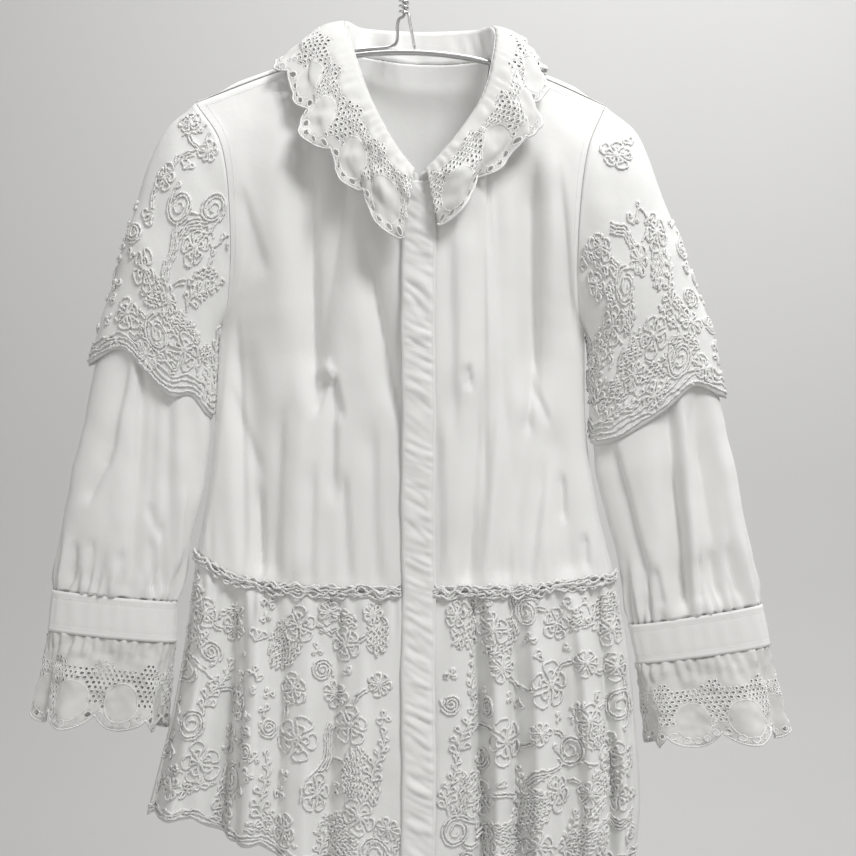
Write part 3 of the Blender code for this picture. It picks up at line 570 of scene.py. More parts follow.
def swept(name: str, curve: bpy.types.Curve) -> bpy.types.Object:
    """Turn a bevelled curve into a smooth-shaded object."""
    source = add_object(name + "_path", curve)
    depsgraph = bpy.context.evaluated_depsgraph_get()
    mesh = bpy.data.meshes.new_from_object(source.evaluated_get(depsgraph))
    mesh.name = name
    mesh.shade_smooth()
    bpy.data.objects.remove(source, do_unlink=True)
    return add_object(name, mesh)


def give_wall(item: bpy.types.Object, thickness: float) -> None:
    """Turn an open surface into a closed wall with the surface in its middle."""
    wall = item.modifiers.new("Wall", "SOLIDIFY")
    wall.thickness = thickness
    wall.offset = 0.0


@dataclass
class Panel:
    """A cloth surface sampled on a grid, which carries stitches and cords."""

    name: str
    surface: Surface
    columns: list[float]
    rows: list[float]
    outward: Vector | None = None
    tube: bool = False
    wall: float = 0.0007
    points: list[list[Vector]] = field(init=False)
    normals: list[list[Vector]] = field(init=False)

    def __post_init__(self) -> None:
        """Sample the surface and its normals."""
        self.points = [[self.surface(u, v) for v in self.rows] for u in self.columns]
        last, top = len(self.columns) - 1, len(self.rows) - 1
        middles = [sum((column[j] for column in self.points), Vector()) / (last + 1)
                   for j in range(top + 1)]
        self.normals = []
        for i in range(last + 1):
            left, right = max(i - 1, 0), min(i + 1, last)
            if self.tube and i in (0, last):
                left, right = last - 1, 1
            normals = []
            for j in range(top + 1):
                over = self.points[right][j] - self.points[left][j]
                upward = self.points[i][min(j + 1, top)] - self.points[i][max(j - 1, 0)]
                normal = over.cross(upward).normalized()
                away = self.outward if self.outward else self.points[i][j] - middles[j]
                normals.append(-normal if normal.dot(away) < 0 else normal)
            self.normals.append(normals)

    def cell(self, stations: list[float], value: float) -> tuple[int, float]:
        """The cell that holds a station, and the share within it."""
        value = min(max(value, 0.0), 1.0)
        index = min(bisect_right(stations, value) - 1, len(stations) - 2)
        return index, (value - stations[index]) / (stations[index + 1] - stations[index])

    def at(self, u: float, v: float, lift: float = 0.0) -> Vector:
        """A point on the cloth.

        Args:
            u: station across.
            v: station along.
            lift: how far it stands off the cloth's outer side.

        Returns:
            The point.
        """
        if self.tube:
            u %= 1.0
        i, s = self.cell(self.columns, u)
        j, t = self.cell(self.rows, v)
        corners = ((i, j, (1 - s) * (1 - t)), (i + 1, j, s * (1 - t)),
                   (i, j + 1, (1 - s) * t), (i + 1, j + 1, s * t))
        place = Vector()
        for a, b, share in corners:
            place += self.points[a][b] * share
            if lift:
                place += self.normals[a][b] * (share * lift)
        return place

    def find(self, x: float, z: float, back: bool = False) -> Flat:
        """The station of the cloth nearest to a place in front view.

        Args:
            x: the place's x.
            z: the place's z.
            back: look on the back half of a tube.

        Returns:
            The stations u and v.
        """
        best, nearest = (0.5, 0.5), 1e9
        for i, u in enumerate(self.columns):
            if self.tube and (u > 0.5) != back:
                continue
            for j, place in enumerate(self.points[i]):
                apart = (place.x - x) ** 2 + (place.z - z) ** 2
                if apart < nearest:
                    nearest, best = apart, (u, self.rows[j])
        return best

    def scales(self, u: float, v: float) -> Flat:
        """Metres for each unit of u and v, minus where u runs to -X or v runs down."""
        u, v = min(max(u, 0.02), 0.98), min(max(v, 0.02), 0.98)
        over = self.at(u + 0.01, v) - self.at(u - 0.01, v)
        upward = self.at(u, v + 0.01) - self.at(u, v - 0.01)
        base = 0.25 if u <= 0.5 else 0.75
        if not self.tube:
            base = 0.5
        sense = self.at(base + 0.05, v).x - self.at(base - 0.05, v).x
        return (math.copysign(over.length / 0.02, sense),
                math.copysign(upward.length / 0.02, upward.z))

    def build(self) -> bpy.types.Object:
        """Make the cloth as a walled mesh with its flat layout in metres as UV map.

        Returns:
            The piece.
        """
        bm = bmesh.new()
        across, up = len(self.columns) - 1, len(self.rows) - 1
        bmesh.ops.create_grid(bm, x_segments=across, y_segments=up, size=0.5)
        width = abs(self.scales(0.25, 0.5)[0])
        length = abs(self.scales(0.5, 0.5)[1])
        layout = bm.loops.layers.uv.new("Flat")
        for vert in bm.verts:
            i = round((vert.co.x + 0.5) * across)
            j = round((vert.co.y + 0.5) * up)
            for loop in vert.link_loops:
                loop[layout].uv = (self.columns[i] * width, self.rows[j] * length)
            vert.co = self.points[i][j]
        if self.tube:
            bmesh.ops.remove_doubles(bm, verts=bm.verts, dist=1e-6)
        item = link_mesh(self.name, bm)
        give_wall(item, self.wall)
        return item


@dataclass
class Rope:
    """Twisted cord, laid along many paths and made into one piece.

    Each ring of the mesh is turned by half a side against the one before it, which raises
    the plies.
    """

    radius: float = 0.00140
    step: float = 0.00165
    sides: int = 4
    turn: float = math.pi / 4
    crinkle: float = 0.0
    paths: list[tuple[list[Vector], bool]] = field(default_factory=list)

    def lay(self, path: Sequence[Vector], closed: bool = False) -> None:
        """Add a path at even steps.

        Args:
            path: its points.
            closed: whether it is a ring.
        """
        points = [*path, path[0]] if closed else list(path)
        lengths = [0.0]
        for start, end in zip(points, points[1:]):
            lengths.append(lengths[-1] + (end - start).length)
        if lengths[-1] < 2 * self.step:
            return
        count = max(3, round(lengths[-1] / self.step))
        result = []
        index = 0
        for number in range(count if closed else count + 1):
            target = lengths[-1] * number / count
            while index < len(points) - 2 and lengths[index + 1] < target:
                index += 1
            span = max(lengths[index + 1] - lengths[index], 1e-9)
            place = points[index].lerp(points[index + 1], (target - lengths[index]) / span)
            if self.crinkle:
                place = place + noise.noise_vector(place * CRINKLE_RATE) * self.crinkle
            result.append(place)
        self.paths.append((result, closed))

    def build(self, name: str) -> bpy.types.Object:
        """Make the rope's mesh.

        Args:
            name: the piece's name.

        Returns:
            The piece.
        """
        profile = bpy.data.curves.new(name + "_profile", "CURVE")
        outline = profile.splines.new("POLY")
        outline.points.add(self.sides - 1)
        outline.use_cyclic_u = True
        for number, item in enumerate(outline.points):
            angle = math.tau * number / self.sides
            item.co = (self.radius * math.cos(angle), self.radius * math.sin(angle), 0.0, 1.0)
        cutter = add_object(name + "_profile", profile)
        curve = bpy.data.curves.new(name, "CURVE")
        curve.dimensions = "3D"
        curve.bevel_mode = "OBJECT"
        curve.bevel_object = cutter
        curve.use_fill_caps = True
        for path, closed in self.paths:
            spline = curve.splines.new("POLY")
            spline.points.add(len(path) - 1)
            spline.use_cyclic_u = closed
            for number, item in enumerate(spline.points):
                item.co = (*path[number], 1.0)
                item.tilt = self.turn * number
        item = swept(name, curve)
        bpy.data.objects.remove(cutter, do_unlink=True)
        return item


def thread_rope() -> Rope:
    """Sewing thread for single stitches."""
    return Rope(radius=0.00027, step=0.0012, turn=0.0)


def sew(rope: Rope, panel: Panel, path: Sequence[Flat], stitch: float = 0.0023,
        pitch: float = 0.0032) -> None:
    """Lay a row of single stitches on a panel.

    Args:
        rope: the thread that takes the stitches.
        panel: the cloth.
        path: stations u and v of the row, joined by straight lines.
        stitch: a stitch's length.
        pitch: from one stitch to the next.
    """
    places = []
    for start, end in zip(path, path[1:]):
        for step in range(STITCH_SAMPLES):
            share = step / STITCH_SAMPLES
            places.append(panel.at(start[0] + (end[0] - start[0]) * share,
                                   start[1] + (end[1] - start[1]) * share,
                                   panel.wall / 2 + STITCH_LIFT))
    ruler = Rope(step=pitch / 4)
    ruler.lay(places)
    for spots, _ in ruler.paths:
        for index in range(0, len(spots) - 4, 4):
            middle = spots[index + 1] + (spots[index + 2] - spots[index + 1]) * 0.5
            reach = (spots[index + 3] - spots[index]).normalized() * (stitch / 2)
            rope.paths.append(([middle - reach, middle, middle + reach], False))


# Embroidery


def polar(reach: float, angle: float) -> Flat:
    """A flat point at an angle."""
    return reach * math.cos(angle), reach * math.sin(angle)


def petal(size: float, angle: float, spread: float, origin: Flat = (0.0, 0.0)) -> Stroke:
    """A looped petal or leaf.

    Args:
        size: its length.
        angle: its direction.
        spread: half of its width, as an angle.
        origin: where it springs from.

    Returns:
        Its outline.
    """
    stroke = []
    for step in range(15):
        t = step / 14
        x, y = polar(size * math.sin(math.pi * t) ** 0.72 if 0 < t < 1 else 0.0,
                     angle + spread * math.sin(math.tau * t))
        stroke.append((origin[0] + x, origin[1] + y))
    return stroke


def blossom(size: float, petals: int, spread: float, inner: float) -> list[Stroke]:
    """A flower of looped petals with a coiled middle.

    Args:
        size: its radius.
        petals: how many petals.
        spread: half of a petal's width, as an angle.
        inner: size of a second row of loops as a share, or 0 for none.

    Returns:
        Its strokes.
    """
    strokes = []
    for number in range(petals):
        angle = math.tau * number / petals
        reach = size * (1 + 0.09 * math.sin(2.7 * number + petals))
        strokes.append(petal(reach, angle, spread))
        if inner:
            strokes.append(petal(reach * inner, angle + 0.05, spread * 0.72))
    strokes.append([polar(size * 0.20 * (1 - 0.5 * t / 10), t * 0.9) for t in range(11)])
    return strokes


def crinkled_rows(reach: float, rise: float) -> list[Stroke]:
    """Crinkled cord laid to and fro over an oval.

    Args:
        reach: half of the oval's length.
        rise: half of its height.

    Returns:
        One stroke.
    """
    stroke = []
    count = int(rise / CORD_PITCH)
    for row in range(-count, count + 1):
        height = row * CORD_PITCH
        half = reach * math.sqrt(max(0.0, 1 - (height / rise) ** 2)) + 0.001
        half *= 0.74 + 0.42 * abs(math.sin(row * 1.7 + reach * 900))
        steps = max(2, int(half / 0.0008))
        line = [(half * (2 * step / steps - 1),
                 height + 0.0014 * math.sin(half * 2 * step / steps * 980 + row * 2.4))
                for step in range(steps + 1)]
        stroke += line if row % 2 else line[::-1]
    return [stroke]


def strokes_of(kind: Motif, size: float) -> list[Stroke]:
    """The strokes of a motif, at the origin and turned along +X.

    Args:
        kind: the motif.
        size: its radius in metres.

    Returns:
        Flat strokes in metres.
    """
    if kind is FLOWER:
        return blossom(size, 5, 0.50, 0.62)
    if kind is DAISY:
        return blossom(size, 7, 0.34, 0.0)
    if kind is SPIRAL:
        coil = [polar(size * (1 - 0.80 * t / 36), t * 0.33) for t in range(37)]
        tail = [(size * (1 + 0.05 * t), -size * 0.16 * t) for t in range(5, 0, -1)]
        second = [polar(size * (1 - 0.80 * t / 36) + CORD_PITCH, t * 0.33) for t in range(20)]
        return [tail + coil, second, petal(size * 0.5, -1.9, 0.4, tail[1])]
    if kind is CLOUD:
        return crinkled_rows(size, size * 0.72)
    if kind is BAND:
        return [[(size * (t / 8 - 1.25), size * 0.16 * math.sin(t * 0.42) + row * CORD_PITCH
                  + 0.0005 * math.sin(t * 1.9 + row)) for t in range(21)] for row in range(-1, 3)]
    if kind is LEAF:
        stem = [(-size, 0.0), (-size * 0.4, -size * 0.1), (0.0, 0.0)]
        return [stem, petal(size, 0.55, 0.36), petal(size, -0.55, 0.36), petal(size * 0.9, 0, 0.2)]
    if kind is TRAIL:
        stem = [(size * (t / 6 - 1.2), size * 0.35 * math.sin(t * 0.62)) for t in range(15)]
        tip = stem[-1]
        curl = [(tip[0] + size * 0.34 * (1 - t / 16) * math.sin(t * 0.5),
                 tip[1] - size * 0.34 * (1 - (1 - t / 16) * math.cos(t * 0.5))) for t in range(14)]
        loops = [petal(size * 0.46, 1.2, 0.42, stem[4]), petal(size * 0.46, -1.0, 0.42, stem[7]),
                 petal(size * 0.42, 1.3, 0.42, stem[10])]
        return [stem, curl, *loops]
    if kind is BUD:
        return [petal(size, 0.0, 0.5), petal(size * 0.8, 2.2, 0.4), petal(size * 0.8, -2.2, 0.4)]
    stem = [(size * (t / 5 - 1.1), size * 0.16 * math.sin(t * 0.5)) for t in range(12)]
    strokes = [stem]
    for number in range(1, 11):
        side = 1 if number % 2 else -1
        reach = size * (0.52 - 0.026 * number)
        strokes.append(petal(reach, side * (0.95 - 0.03 * number), 0.30, stem[number]))
    strokes.append(petal(size * 0.34, 0.1, 0.45, stem[-1]))
    return strokes


@dataclass
class Embroidery:
    """Corded embroidery on one panel."""

    panel: Panel
    rope: Rope = field(default_factory=lambda: Rope(crinkle=0.0011))
    cell: float = 0.0034
    seat: float = 0.55
    hem: float = 0.012
    far_u: float = 0.985
    far_v: float = 0.992
    stem_least: float = 0.012
    stem_reach: float = 0.052
    stem_step: float = 0.0015
    stem_bow: float = 0.22
    taken: set[tuple[int, int, int]] = field(default_factory=set)

    def key(self, place: Vector) -> tuple[int, int, int]:
        """The cell of space that a point lies in."""
        return tuple(math.floor(value / self.cell) for value in place)

    def stitch(self, stations: Sequence[Flat], avoid: set[tuple[int, int, int]]) -> None:
        """Lay cord along stations of the panel.

        Args:
            stations: where it runs; what leaves the cloth is dropped.
            avoid: cells of space where the cord is left out.
        """
        lift = self.panel.wall / 2 + self.rope.radius * self.seat
        run: list[Vector] = []
        for u, v in (*stations, OFF_CLOTH):
            across = self.panel.tube or self.hem < u < self.far_u
            inside = across and self.hem < v < self.far_v
            place = self.panel.at(u, v, lift) if inside else None
            if place is not None and self.key(place) not in avoid:
                self.taken.add(self.key(place))
                run.append(place)
            elif run:
                if len(run) > 3:
                    self.rope.lay(run)
                run = []

    def put(self, kind: Motif, u: float, v: float, size: float, turn: float) -> None:
        """Embroider a motif.

        Args:
            kind: the motif.
            u: its station across.
            v: its station along.
            size: its radius in metres.
            turn: its turn in degrees, seen from the cloth's outer side.
        """
        scale_u, scale_v = self.panel.scales(u, v)
        cos, sin = math.cos(math.radians(turn)), math.sin(math.radians(turn))
        avoid = set(self.taken) if kind in (CLOUD, BAND) else set()
        for stroke in strokes_of(kind, size):
            self.stitch([(u + (x * cos - y * sin) / scale_u, v + (x * sin + y * cos) / scale_v)
                         for x, y in stroke], avoid)

    def place(self, rows: Iterable[tuple], back: bool = False) -> None:
        """Embroider rows of motif, x, z, size and turn, and join near ones with stems."""
        spots = []
        for kind, x, z, size, turn in rows:
            u, v = self.panel.find(x, z, back)
            self.put(kind, u, v, size, turn)
            spots.append((u, v))
        for number, (first, last) in enumerate(zip(spots, spots[1:])):
            self.join(first, last, self.stem_bow if number % 2 else -self.stem_bow)

    def join(self, first: Flat, last: Flat, bow: float) -> None:
        """Lay a stem of two bowed cords between two motifs that lie near each other.

        Args:
            first: stations of one motif.
            last: stations of the other.
            bow: the stem's bow, as a share of its length.
        """
        scale_u, scale_v = self.panel.scales(*first)
        run = Vector(((last[0] - first[0]) * scale_u, (last[1] - first[1]) * scale_v))
        if not self.stem_least < run.length < self.stem_reach:
            return
        avoid = set(self.taken)
        across = Vector((-run.y, run.x)).normalized()
        steps = max(6, int(run.length / self.stem_step))
        for row in (-0.5, 0.5):
            stem = [run * (t / steps) + across * (row * CORD_PITCH
                                                  + bow * run.length * math.sin(math.pi * t / steps))
                    for t in range(steps + 1)]
            self.stitch([(first[0] + spot.x / scale_u, first[1] + spot.y / scale_v)
                         for spot in stem], avoid)

    def border(self, v: float, waves: int, depth: float, phase: float = 0.0) -> None:
        """A wavy line along the cloth at a station.

        Args:
            v: the station.
            waves: how many waves.
            depth: their depth, in stations.
            phase: where the waves start, in radians.
        """
        steps = 260
        self.stitch([(t / steps, v + depth * math.sin(phase + math.tau * waves * t / steps))
                     for t in range(steps + 1)], set())

    def free(self, place: Vector, reach: int) -> bool:
        """Whether the cells round a point carry no cord."""
        x, y, z = self.key(place)
        around = range(-reach, reach + 1)
        return not any((x + a, y + b, z + c) in self.taken
                       for a in around for b in range(-1, 2) for c in around)

    def fill(self, tries: int, size: float, start: float = 0.0, end: float = 1.0,
             low: float = 0.03, high: float = 0.97, seed: float = 0.0) -> None:
        """Put small buds and leaves where the cloth is still plain.

        Args:
            tries: how many evenly scattered places to try.
            size: the buds' size in metres.
            start: first station across.
            end: last station across.
            low: first station along.
            high: last station along.
            seed: shifts the scatter.
        """
        for number in range(tries):
            u = start + (end - start) * ((seed + number * SCATTER_U) % 1.0)
            v = low + (high - low) * ((seed * 1.7 + number * SCATTER_V) % 1.0)
            if self.free(self.panel.at(u, v), 2):
                kind = (BUD, LEAF, SPIRAL, BUD)[number % 4]
                self.put(kind, u, v, size * (0.85 + 0.3 * (number % 3) / 2), number * 67.0)

    def build(self, name: str, material: bpy.types.Material) -> bpy.types.Object:
        """Make the cords' piece."""
        return dress(self.rope.build(name), material)


# The blouse's edges


@dataclass(frozen=True)
class Half:
    """Edges of one half of the bodice. Each row: station, x, y, z."""

    side: Side
    side_seam: Rows
    armhole_front: Rows
    armhole_back: Rows
    shoulder: Rows
    neck_front: Rows
    neck_back: Rows
    waist_front: Rows
    waist_back: Rows


RIGHT = Half(
    side=Side.RIGHT,
    side_seam=((0.0, -0.1965, 0.0, -0.597), (0.3, -0.1848, 0.0, -0.533), (0.6, -0.179, 0.0, -0.47),
               (1.0, -0.1745, 0.0, -0.384)),
    armhole_front=((0.0, -0.1745, 0.0, -0.384), (0.2, -0.1645, -0.016, -0.355),
                   (0.5, -0.1605, -0.033, -0.285), (0.78, -0.169, -0.03, -0.215),
                   (1.0, -0.1965, -0.006, -0.171)),
    armhole_back=((0.0, -0.1745, 0.0, -0.384), (0.2, -0.162, 0.014, -0.355),
                  (0.5, -0.156, 0.026, -0.285), (0.78, -0.168, 0.024, -0.215),
                  (0.92, -0.189, 0.011, -0.177), (1.0, -0.1965, -0.0055, -0.1695)),
    shoulder=((0.0, -0.1965, -0.006, -0.171), (0.5, -0.128, -0.0065, -0.145),
              (1.0, -0.0561, -0.006, -0.121)),
    neck_front=((0.0, -0.0561, -0.006, -0.121), (0.35, -0.051, -0.027, -0.15),
                (0.68, -0.032, -0.044, -0.196), (1.0, 0.0135, -0.0555, -0.2475)),
    neck_back=((0.0, -0.0561, -0.0055, -0.1195), (0.4, -0.046, 0.023, -0.119),
               (1.0, 0.014, 0.043, -0.124)),
    waist_front=((0.0, -0.1965, 0.0, -0.597), (0.07, -0.19, -0.013, -0.601),
                 (0.25, -0.158, -0.025, -0.618), (0.55, -0.095, -0.033, -0.6275),
                 (1.0, 0.0135, -0.036, -0.629)),
    waist_back=((0.0, -0.1965, 0.0, -0.597), (0.08, -0.189, 0.0125, -0.6), (0.3, -0.145, 0.024, -0.61),
                (1.0, 0.014, 0.034, -0.623)))

LEFT = Half(
    side=Side.LEFT,
    side_seam=((0.0, 0.199, 0.0, -0.6165), (0.3, 0.183, 0.0, -0.553), (0.6, 0.1725, 0.0, -0.48),
               (1.0, 0.171, 0.0, -0.386)),
    armhole_front=((0.0, 0.171, 0.0, -0.386), (0.2, 0.1635, -0.016, -0.357),
                   (0.5, 0.1625, -0.033, -0.288), (0.78, 0.171, -0.03, -0.22),
                   (1.0, 0.19, -0.006, -0.174)),
    armhole_back=((0.0, 0.171, 0.0, -0.386), (0.2, 0.1605, 0.014, -0.357),
                  (0.5, 0.158, 0.026, -0.288), (0.78, 0.168, 0.024, -0.22),
                  (0.92, 0.1835, 0.011, -0.179), (1.0, 0.19, -0.0055, -0.1725)),
    shoulder=((0.0, 0.19, -0.006, -0.174), (0.5, 0.139, -0.0065, -0.151), (1.0, 0.0836, -0.006, -0.128)),
    neck_front=((0.0, 0.0836, -0.006, -0.128), (0.3, 0.0835, -0.027, -0.155),
                (0.6, 0.0725, -0.043, -0.19), (0.82, 0.046, -0.052, -0.225),
                (1.0, 0.0145, -0.0555, -0.2475)),
    neck_back=((0.0, 0.0836, -0.0055, -0.1265), (0.4, 0.074, 0.023, -0.125),
               (1.0, 0.014, 0.043, -0.124)),
    waist_front=((0.0, 0.199, 0.0, -0.6165), (0.07, 0.193, -0.013, -0.6185),
                 (0.25, 0.16, -0.025, -0.623), (0.55, 0.104, -0.033, -0.628),
                 (1.0, 0.0145, -0.036, -0.629)),
    waist_back=((0.0, 0.199, 0.0, -0.6165), (0.08, 0.192, 0.0125, -0.6185),
                (0.3, 0.151, 0.024, -0.622), (1.0, 0.014, 0.034, -0.623)))

HALVES = {Side.RIGHT: RIGHT, Side.LEFT: LEFT}
FRONT_CORNER = dense_start(7)[4]
BACK_CORNER = dense_ends(18)[6]


def waist_front(side: Side) -> Edge:
    """The waist edge of one front, from its side seam to the centre."""
    return lambda u: edge_point(HALVES[side].waist_front, u)


def waist_round(u: float) -> Vector:
    """The waist edge of the back, from the right side seam to the left."""
    half = RIGHT if u <= 0.5 else LEFT
    return edge_point(half.waist_back, 2 * min(u, 1 - u))


def armhole_point(side: Side, angle: float) -> Vector:
    """A point of the armhole, from the shoulder over the front to the underarm and back."""
    half = HALVES[side]
    if angle <= math.pi:
        return edge_point(half.armhole_front, 1 - angle / math.pi)
    return edge_point(half.armhole_back, angle / math.pi - 1)


@dataclass
class Bodice:
    """The two fronts and the back, which turns over the shoulders."""

    centre_x: float = 0.014
    centre_gap: float = 0.0005
    side_half_gap: float = 0.0009
    crease_gain: float = 1.9
    crease_lean: float = 0.55
    soft_reach: float = 0.13
    neck_reach: float = 0.09
    front_wear: Rows = ((0.050, 0.0022), (0.019, 0.0008))
    back_wear: Rows = ((0.055, 0.0020), (0.020, 0.0008))
    front_roundness: float = 0.0100
    back_roundness: float = 0.0080
    ridge_rise: float = 0.0040
    ridge_reach: float = 0.0110
    ridge_span: float = 0.027
    shoulder_lift: Vector = field(default_factory=lambda: Vector((0, 0.0003, 0.0009)))
    shoulder_height: float = 0.455
    front_columns: int = 77
    back_columns: int = 96
    front_rows: int = 92
    centre_front: Rows = ((0.0, 0.0, -0.036, -0.629), (0.3, 0.0, -0.041, -0.52),
                          (0.6, 0.0, -0.048, -0.4), (1.0, 0.0, -0.0555, -0.2475))
    centre_back: Rows = ((0.0, 0.0, 0.034, -0.623), (0.4, 0.0, 0.037, -0.43), (0.8, 0.0, 0.041, -0.22),
                         (1.0, 0.0, 0.043, -0.124))
    folds: dict[str, Rows] = field(default_factory=lambda: {
        "right": ((-0.086, -0.22, -0.083, -0.44, 0.012, 0.0075),
                  (-0.0333, -0.3217, -0.006, -0.448, 0.013, 0.008),
                  (-0.153, -0.388, -0.129, -0.613, 0.014, 0.0085),
                  (-0.093, -0.43, -0.1, -0.62, 0.014, -0.0055),
                  (-0.118, -0.21, -0.112, -0.39, 0.016, -0.0045)),
        "left": ((0.117, -0.245, 0.121, -0.44, 0.014, 0.014), (0.089, -0.44, 0.06, -0.628, 0.012, 0.0075),
                 (0.12, -0.46, 0.09, -0.628, 0.012, 0.0065), (0.14, -0.48, 0.155, -0.62, 0.013, 0.006),
                 (0.06, -0.3, 0.048, -0.44, 0.015, -0.0045), (0.135, -0.22, 0.135, -0.39, 0.014, -0.004)),
        "back": ((-0.095, -0.2, -0.105, -0.6, 0.016, -0.007),
                 (-0.035, -0.3, -0.05, -0.615, 0.015, -0.0055),
                 (0.03, -0.22, 0.02, -0.46, 0.014, -0.0045),
                 (0.075, -0.36, 0.065, -0.62, 0.015, -0.0075),
                 (0.125, -0.23, 0.13, -0.56, 0.016, -0.006))})
    creases: dict[str, Rows] = field(default_factory=lambda: {
        "right": ((-0.072, -0.418, -0.064, -0.433, 0.006, -0.0034),
                  (-0.069, -0.43, -0.079, -0.462, 0.004, 0.0022),
                  (-0.064, -0.43, -0.056, -0.468, 0.0045, 0.0026),
                  (-0.064, -0.44, -0.064, -0.54, 0.006, 0.0028),
                  (-0.03, -0.3217, -0.0024, -0.4713, 0.005, 0.0034),
                  (-0.0835, -0.2237, -0.0805, -0.4455, 0.0052, 0.0032),
                  (-0.133, -0.54, -0.131, -0.62, 0.0048, 0.0034),
                  (-0.1563, -0.39, -0.147, -0.6005, 0.006, 0.0024),
                  (-0.0542, -0.5263, -0.0496, -0.6191, 0.005, 0.0024),
                  (-0.164, -0.44, -0.1331, -0.517, 0.006, 0.0016),
                  (-0.15, -0.26, -0.128, -0.33, 0.009, 0.0018),
                  (-0.113, -0.47, -0.118, -0.62, 0.007, 0.0022),
                  (-0.083, -0.52, -0.086, -0.623, 0.006, 0.002),
                  (-0.028, -0.48, -0.024, -0.624, 0.007, 0.002),
                  (-0.096, -0.19, -0.089, -0.36, 0.008, 0.0016)),
        "left": ((0.0432, -0.295, 0.0479, -0.4706, 0.006, 0.002),
                 (0.0711, -0.45, 0.0618, -0.6283, 0.005, 0.0024),
                 (0.0896, -0.45, 0.0757, -0.6283, 0.0048, -0.0022),
                 (0.1221, -0.43, 0.1175, -0.4799, 0.004, 0.0026),
                 (0.1221, -0.438, 0.136, -0.4706, 0.004, 0.002),
                 (0.1499, -0.525, 0.1509, -0.5634, 0.0042, 0.0024),
                 (0.1713, -0.58, 0.1723, -0.608, 0.004, 0.0022),
                 (0.1314, -0.515, 0.1175, -0.6283, 0.0055, 0.0026),
                 (0.1453, -0.2479, 0.1592, -0.3871, 0.006, 0.0018),
                 (0.123, -0.25, 0.1255, -0.44, 0.0055, 0.0032),
                 (0.0738, -0.295, 0.076, -0.53, 0.006, 0.002),
                 (0.06, -0.422, 0.063, -0.44, 0.004, 0.0026),
                 (0.08, -0.25, 0.086, -0.4, 0.007, -0.0016),
                 (0.033, -0.48, 0.036, -0.623, 0.006, 0.0018)),
        "back": ((-0.095, -0.3, -0.1, -0.6, 0.006, -0.0022),
                 (-0.035, -0.38, -0.05, -0.615, 0.005, -0.002),
                 (0.075, -0.4, 0.065, -0.62, 0.0055, -0.0024),
                 (0.02, -0.46, 0.015, -0.62, 0.006, 0.002),
                 (-0.135, -0.42, -0.145, -0.6, 0.006, 0.0022),
                 (0.13, -0.38, 0.142, -0.61, 0.006, -0.002),
                 (-0.14, -0.23, -0.09, -0.29, 0.008, 0.0016),
                 (0.145, -0.24, 0.1, -0.295, 0.008, 0.0016))})

    def centre_line(self, rows: Rows, side: Side, station: float) -> Vector:
        """The middle edge of a front, on its own side of the centre line."""
        x, y, z = along(rows, station)
        return Vector((x + self.centre_x + side.sign * self.centre_gap, y, z))

    def gap(self, u: float, v: float) -> float:
        """How far a panel keeps from the side seam's plane, fading out up the armhole."""
        return self.side_half_gap * (1 - ease(u / 0.05)) * ease((0.66 - v) / 0.16)

    def roundness(self, u: float, v: float) -> float:
        """How far a panel bows out between its edges, as a share."""
        return math.sin(math.pi * u) ** 2 * math.sin(math.pi * v)

    def front(self, side: Side) -> Surface:
        """The surface of one front.

        Args:
            side: the wearer's side.

        Returns:
            The surface, u from the side seam to the centre and v from waist to neck.
        """
        half = HALVES[side]
        patch = coons(waist_front(side), cornered(half.shoulder, half.neck_front, FRONT_CORNER),
                      cornered(half.side_seam, half.armhole_front),
                      lambda v: self.centre_line(self.centre_front, side, v))
        base = softened(patch, lambda u, v: 0.0,
                        lambda u, v: (self.soft_reach * ease(u / 0.10) * ease((1 - v) / 0.4)
                                      * ease(v / 0.4)))

        def point(u: float, v: float) -> Vector:
            """A point with its folds and creases."""
            place = base(u, v)
            fade = ease(u / 0.12) * ease((1 - u) / 0.1) * ease((1 - v) / 0.1) * ease(v / 0.04)
            plain = place.copy()
            place.y += fold_depth(plain, self.folds[side.value]) * fade
            place.y -= self.front_roundness * self.roundness(u, v)
            near = ease(u / 0.04) * ease((1 - u) / 0.05) * ease((1 - v) / 0.04) * ease(v / 0.03)
            fine = self.crease_gain * fold_depth(plain, self.creases[side.value],
                                                 self.crease_lean)
            fine += worn(plain, self.front_wear)
            gathers = math.sin(plain.x * 520 + 1.9 * math.sin(plain.x * 133))
            fine += 0.0007 * gathers * ease((0.14 - v) / 0.12)
            place.y += fine * near
            place.y -= self.gap(u, v)
            return place
        return point

    def back(self) -> Surface:
        """The surface of the back, with its turn over the shoulders.

        Returns:
            The surface, u from the right side seam to the left and v from waist to neck.
        """
        corner = BACK_CORNER * 2
        middle = Vector((self.centre_x, 0, 0))
        halves = {side: coons(lambda u, half=half: edge_point(half.waist_back, u),
                              cornered(half.shoulder, half.neck_back, corner, self.shoulder_lift),
                              cornered(half.side_seam, half.armhole_back),
                              lambda v: edge_point(self.centre_back, v) + middle)
                  for side, half in HALVES.items()}

        def joined(u: float, v: float) -> Vector:
            """A point of the two halves."""
            side = Side.RIGHT if u <= 0.5 else Side.LEFT
            return halves[side](2 * min(u, 1 - u), v)

        upright = softened(joined, lambda u, v: 0.0,
                           lambda u, v: (self.soft_reach * ease(min(u, 1 - u) / 0.05)
                                         * ease((1 - v) / 0.4) * ease(v / 0.4)))
        base = softened(upright,
                        lambda u, v: self.neck_reach * ease(min(u, 1 - u) / 0.2 - 1.2),
                        lambda u, v: 0.0)

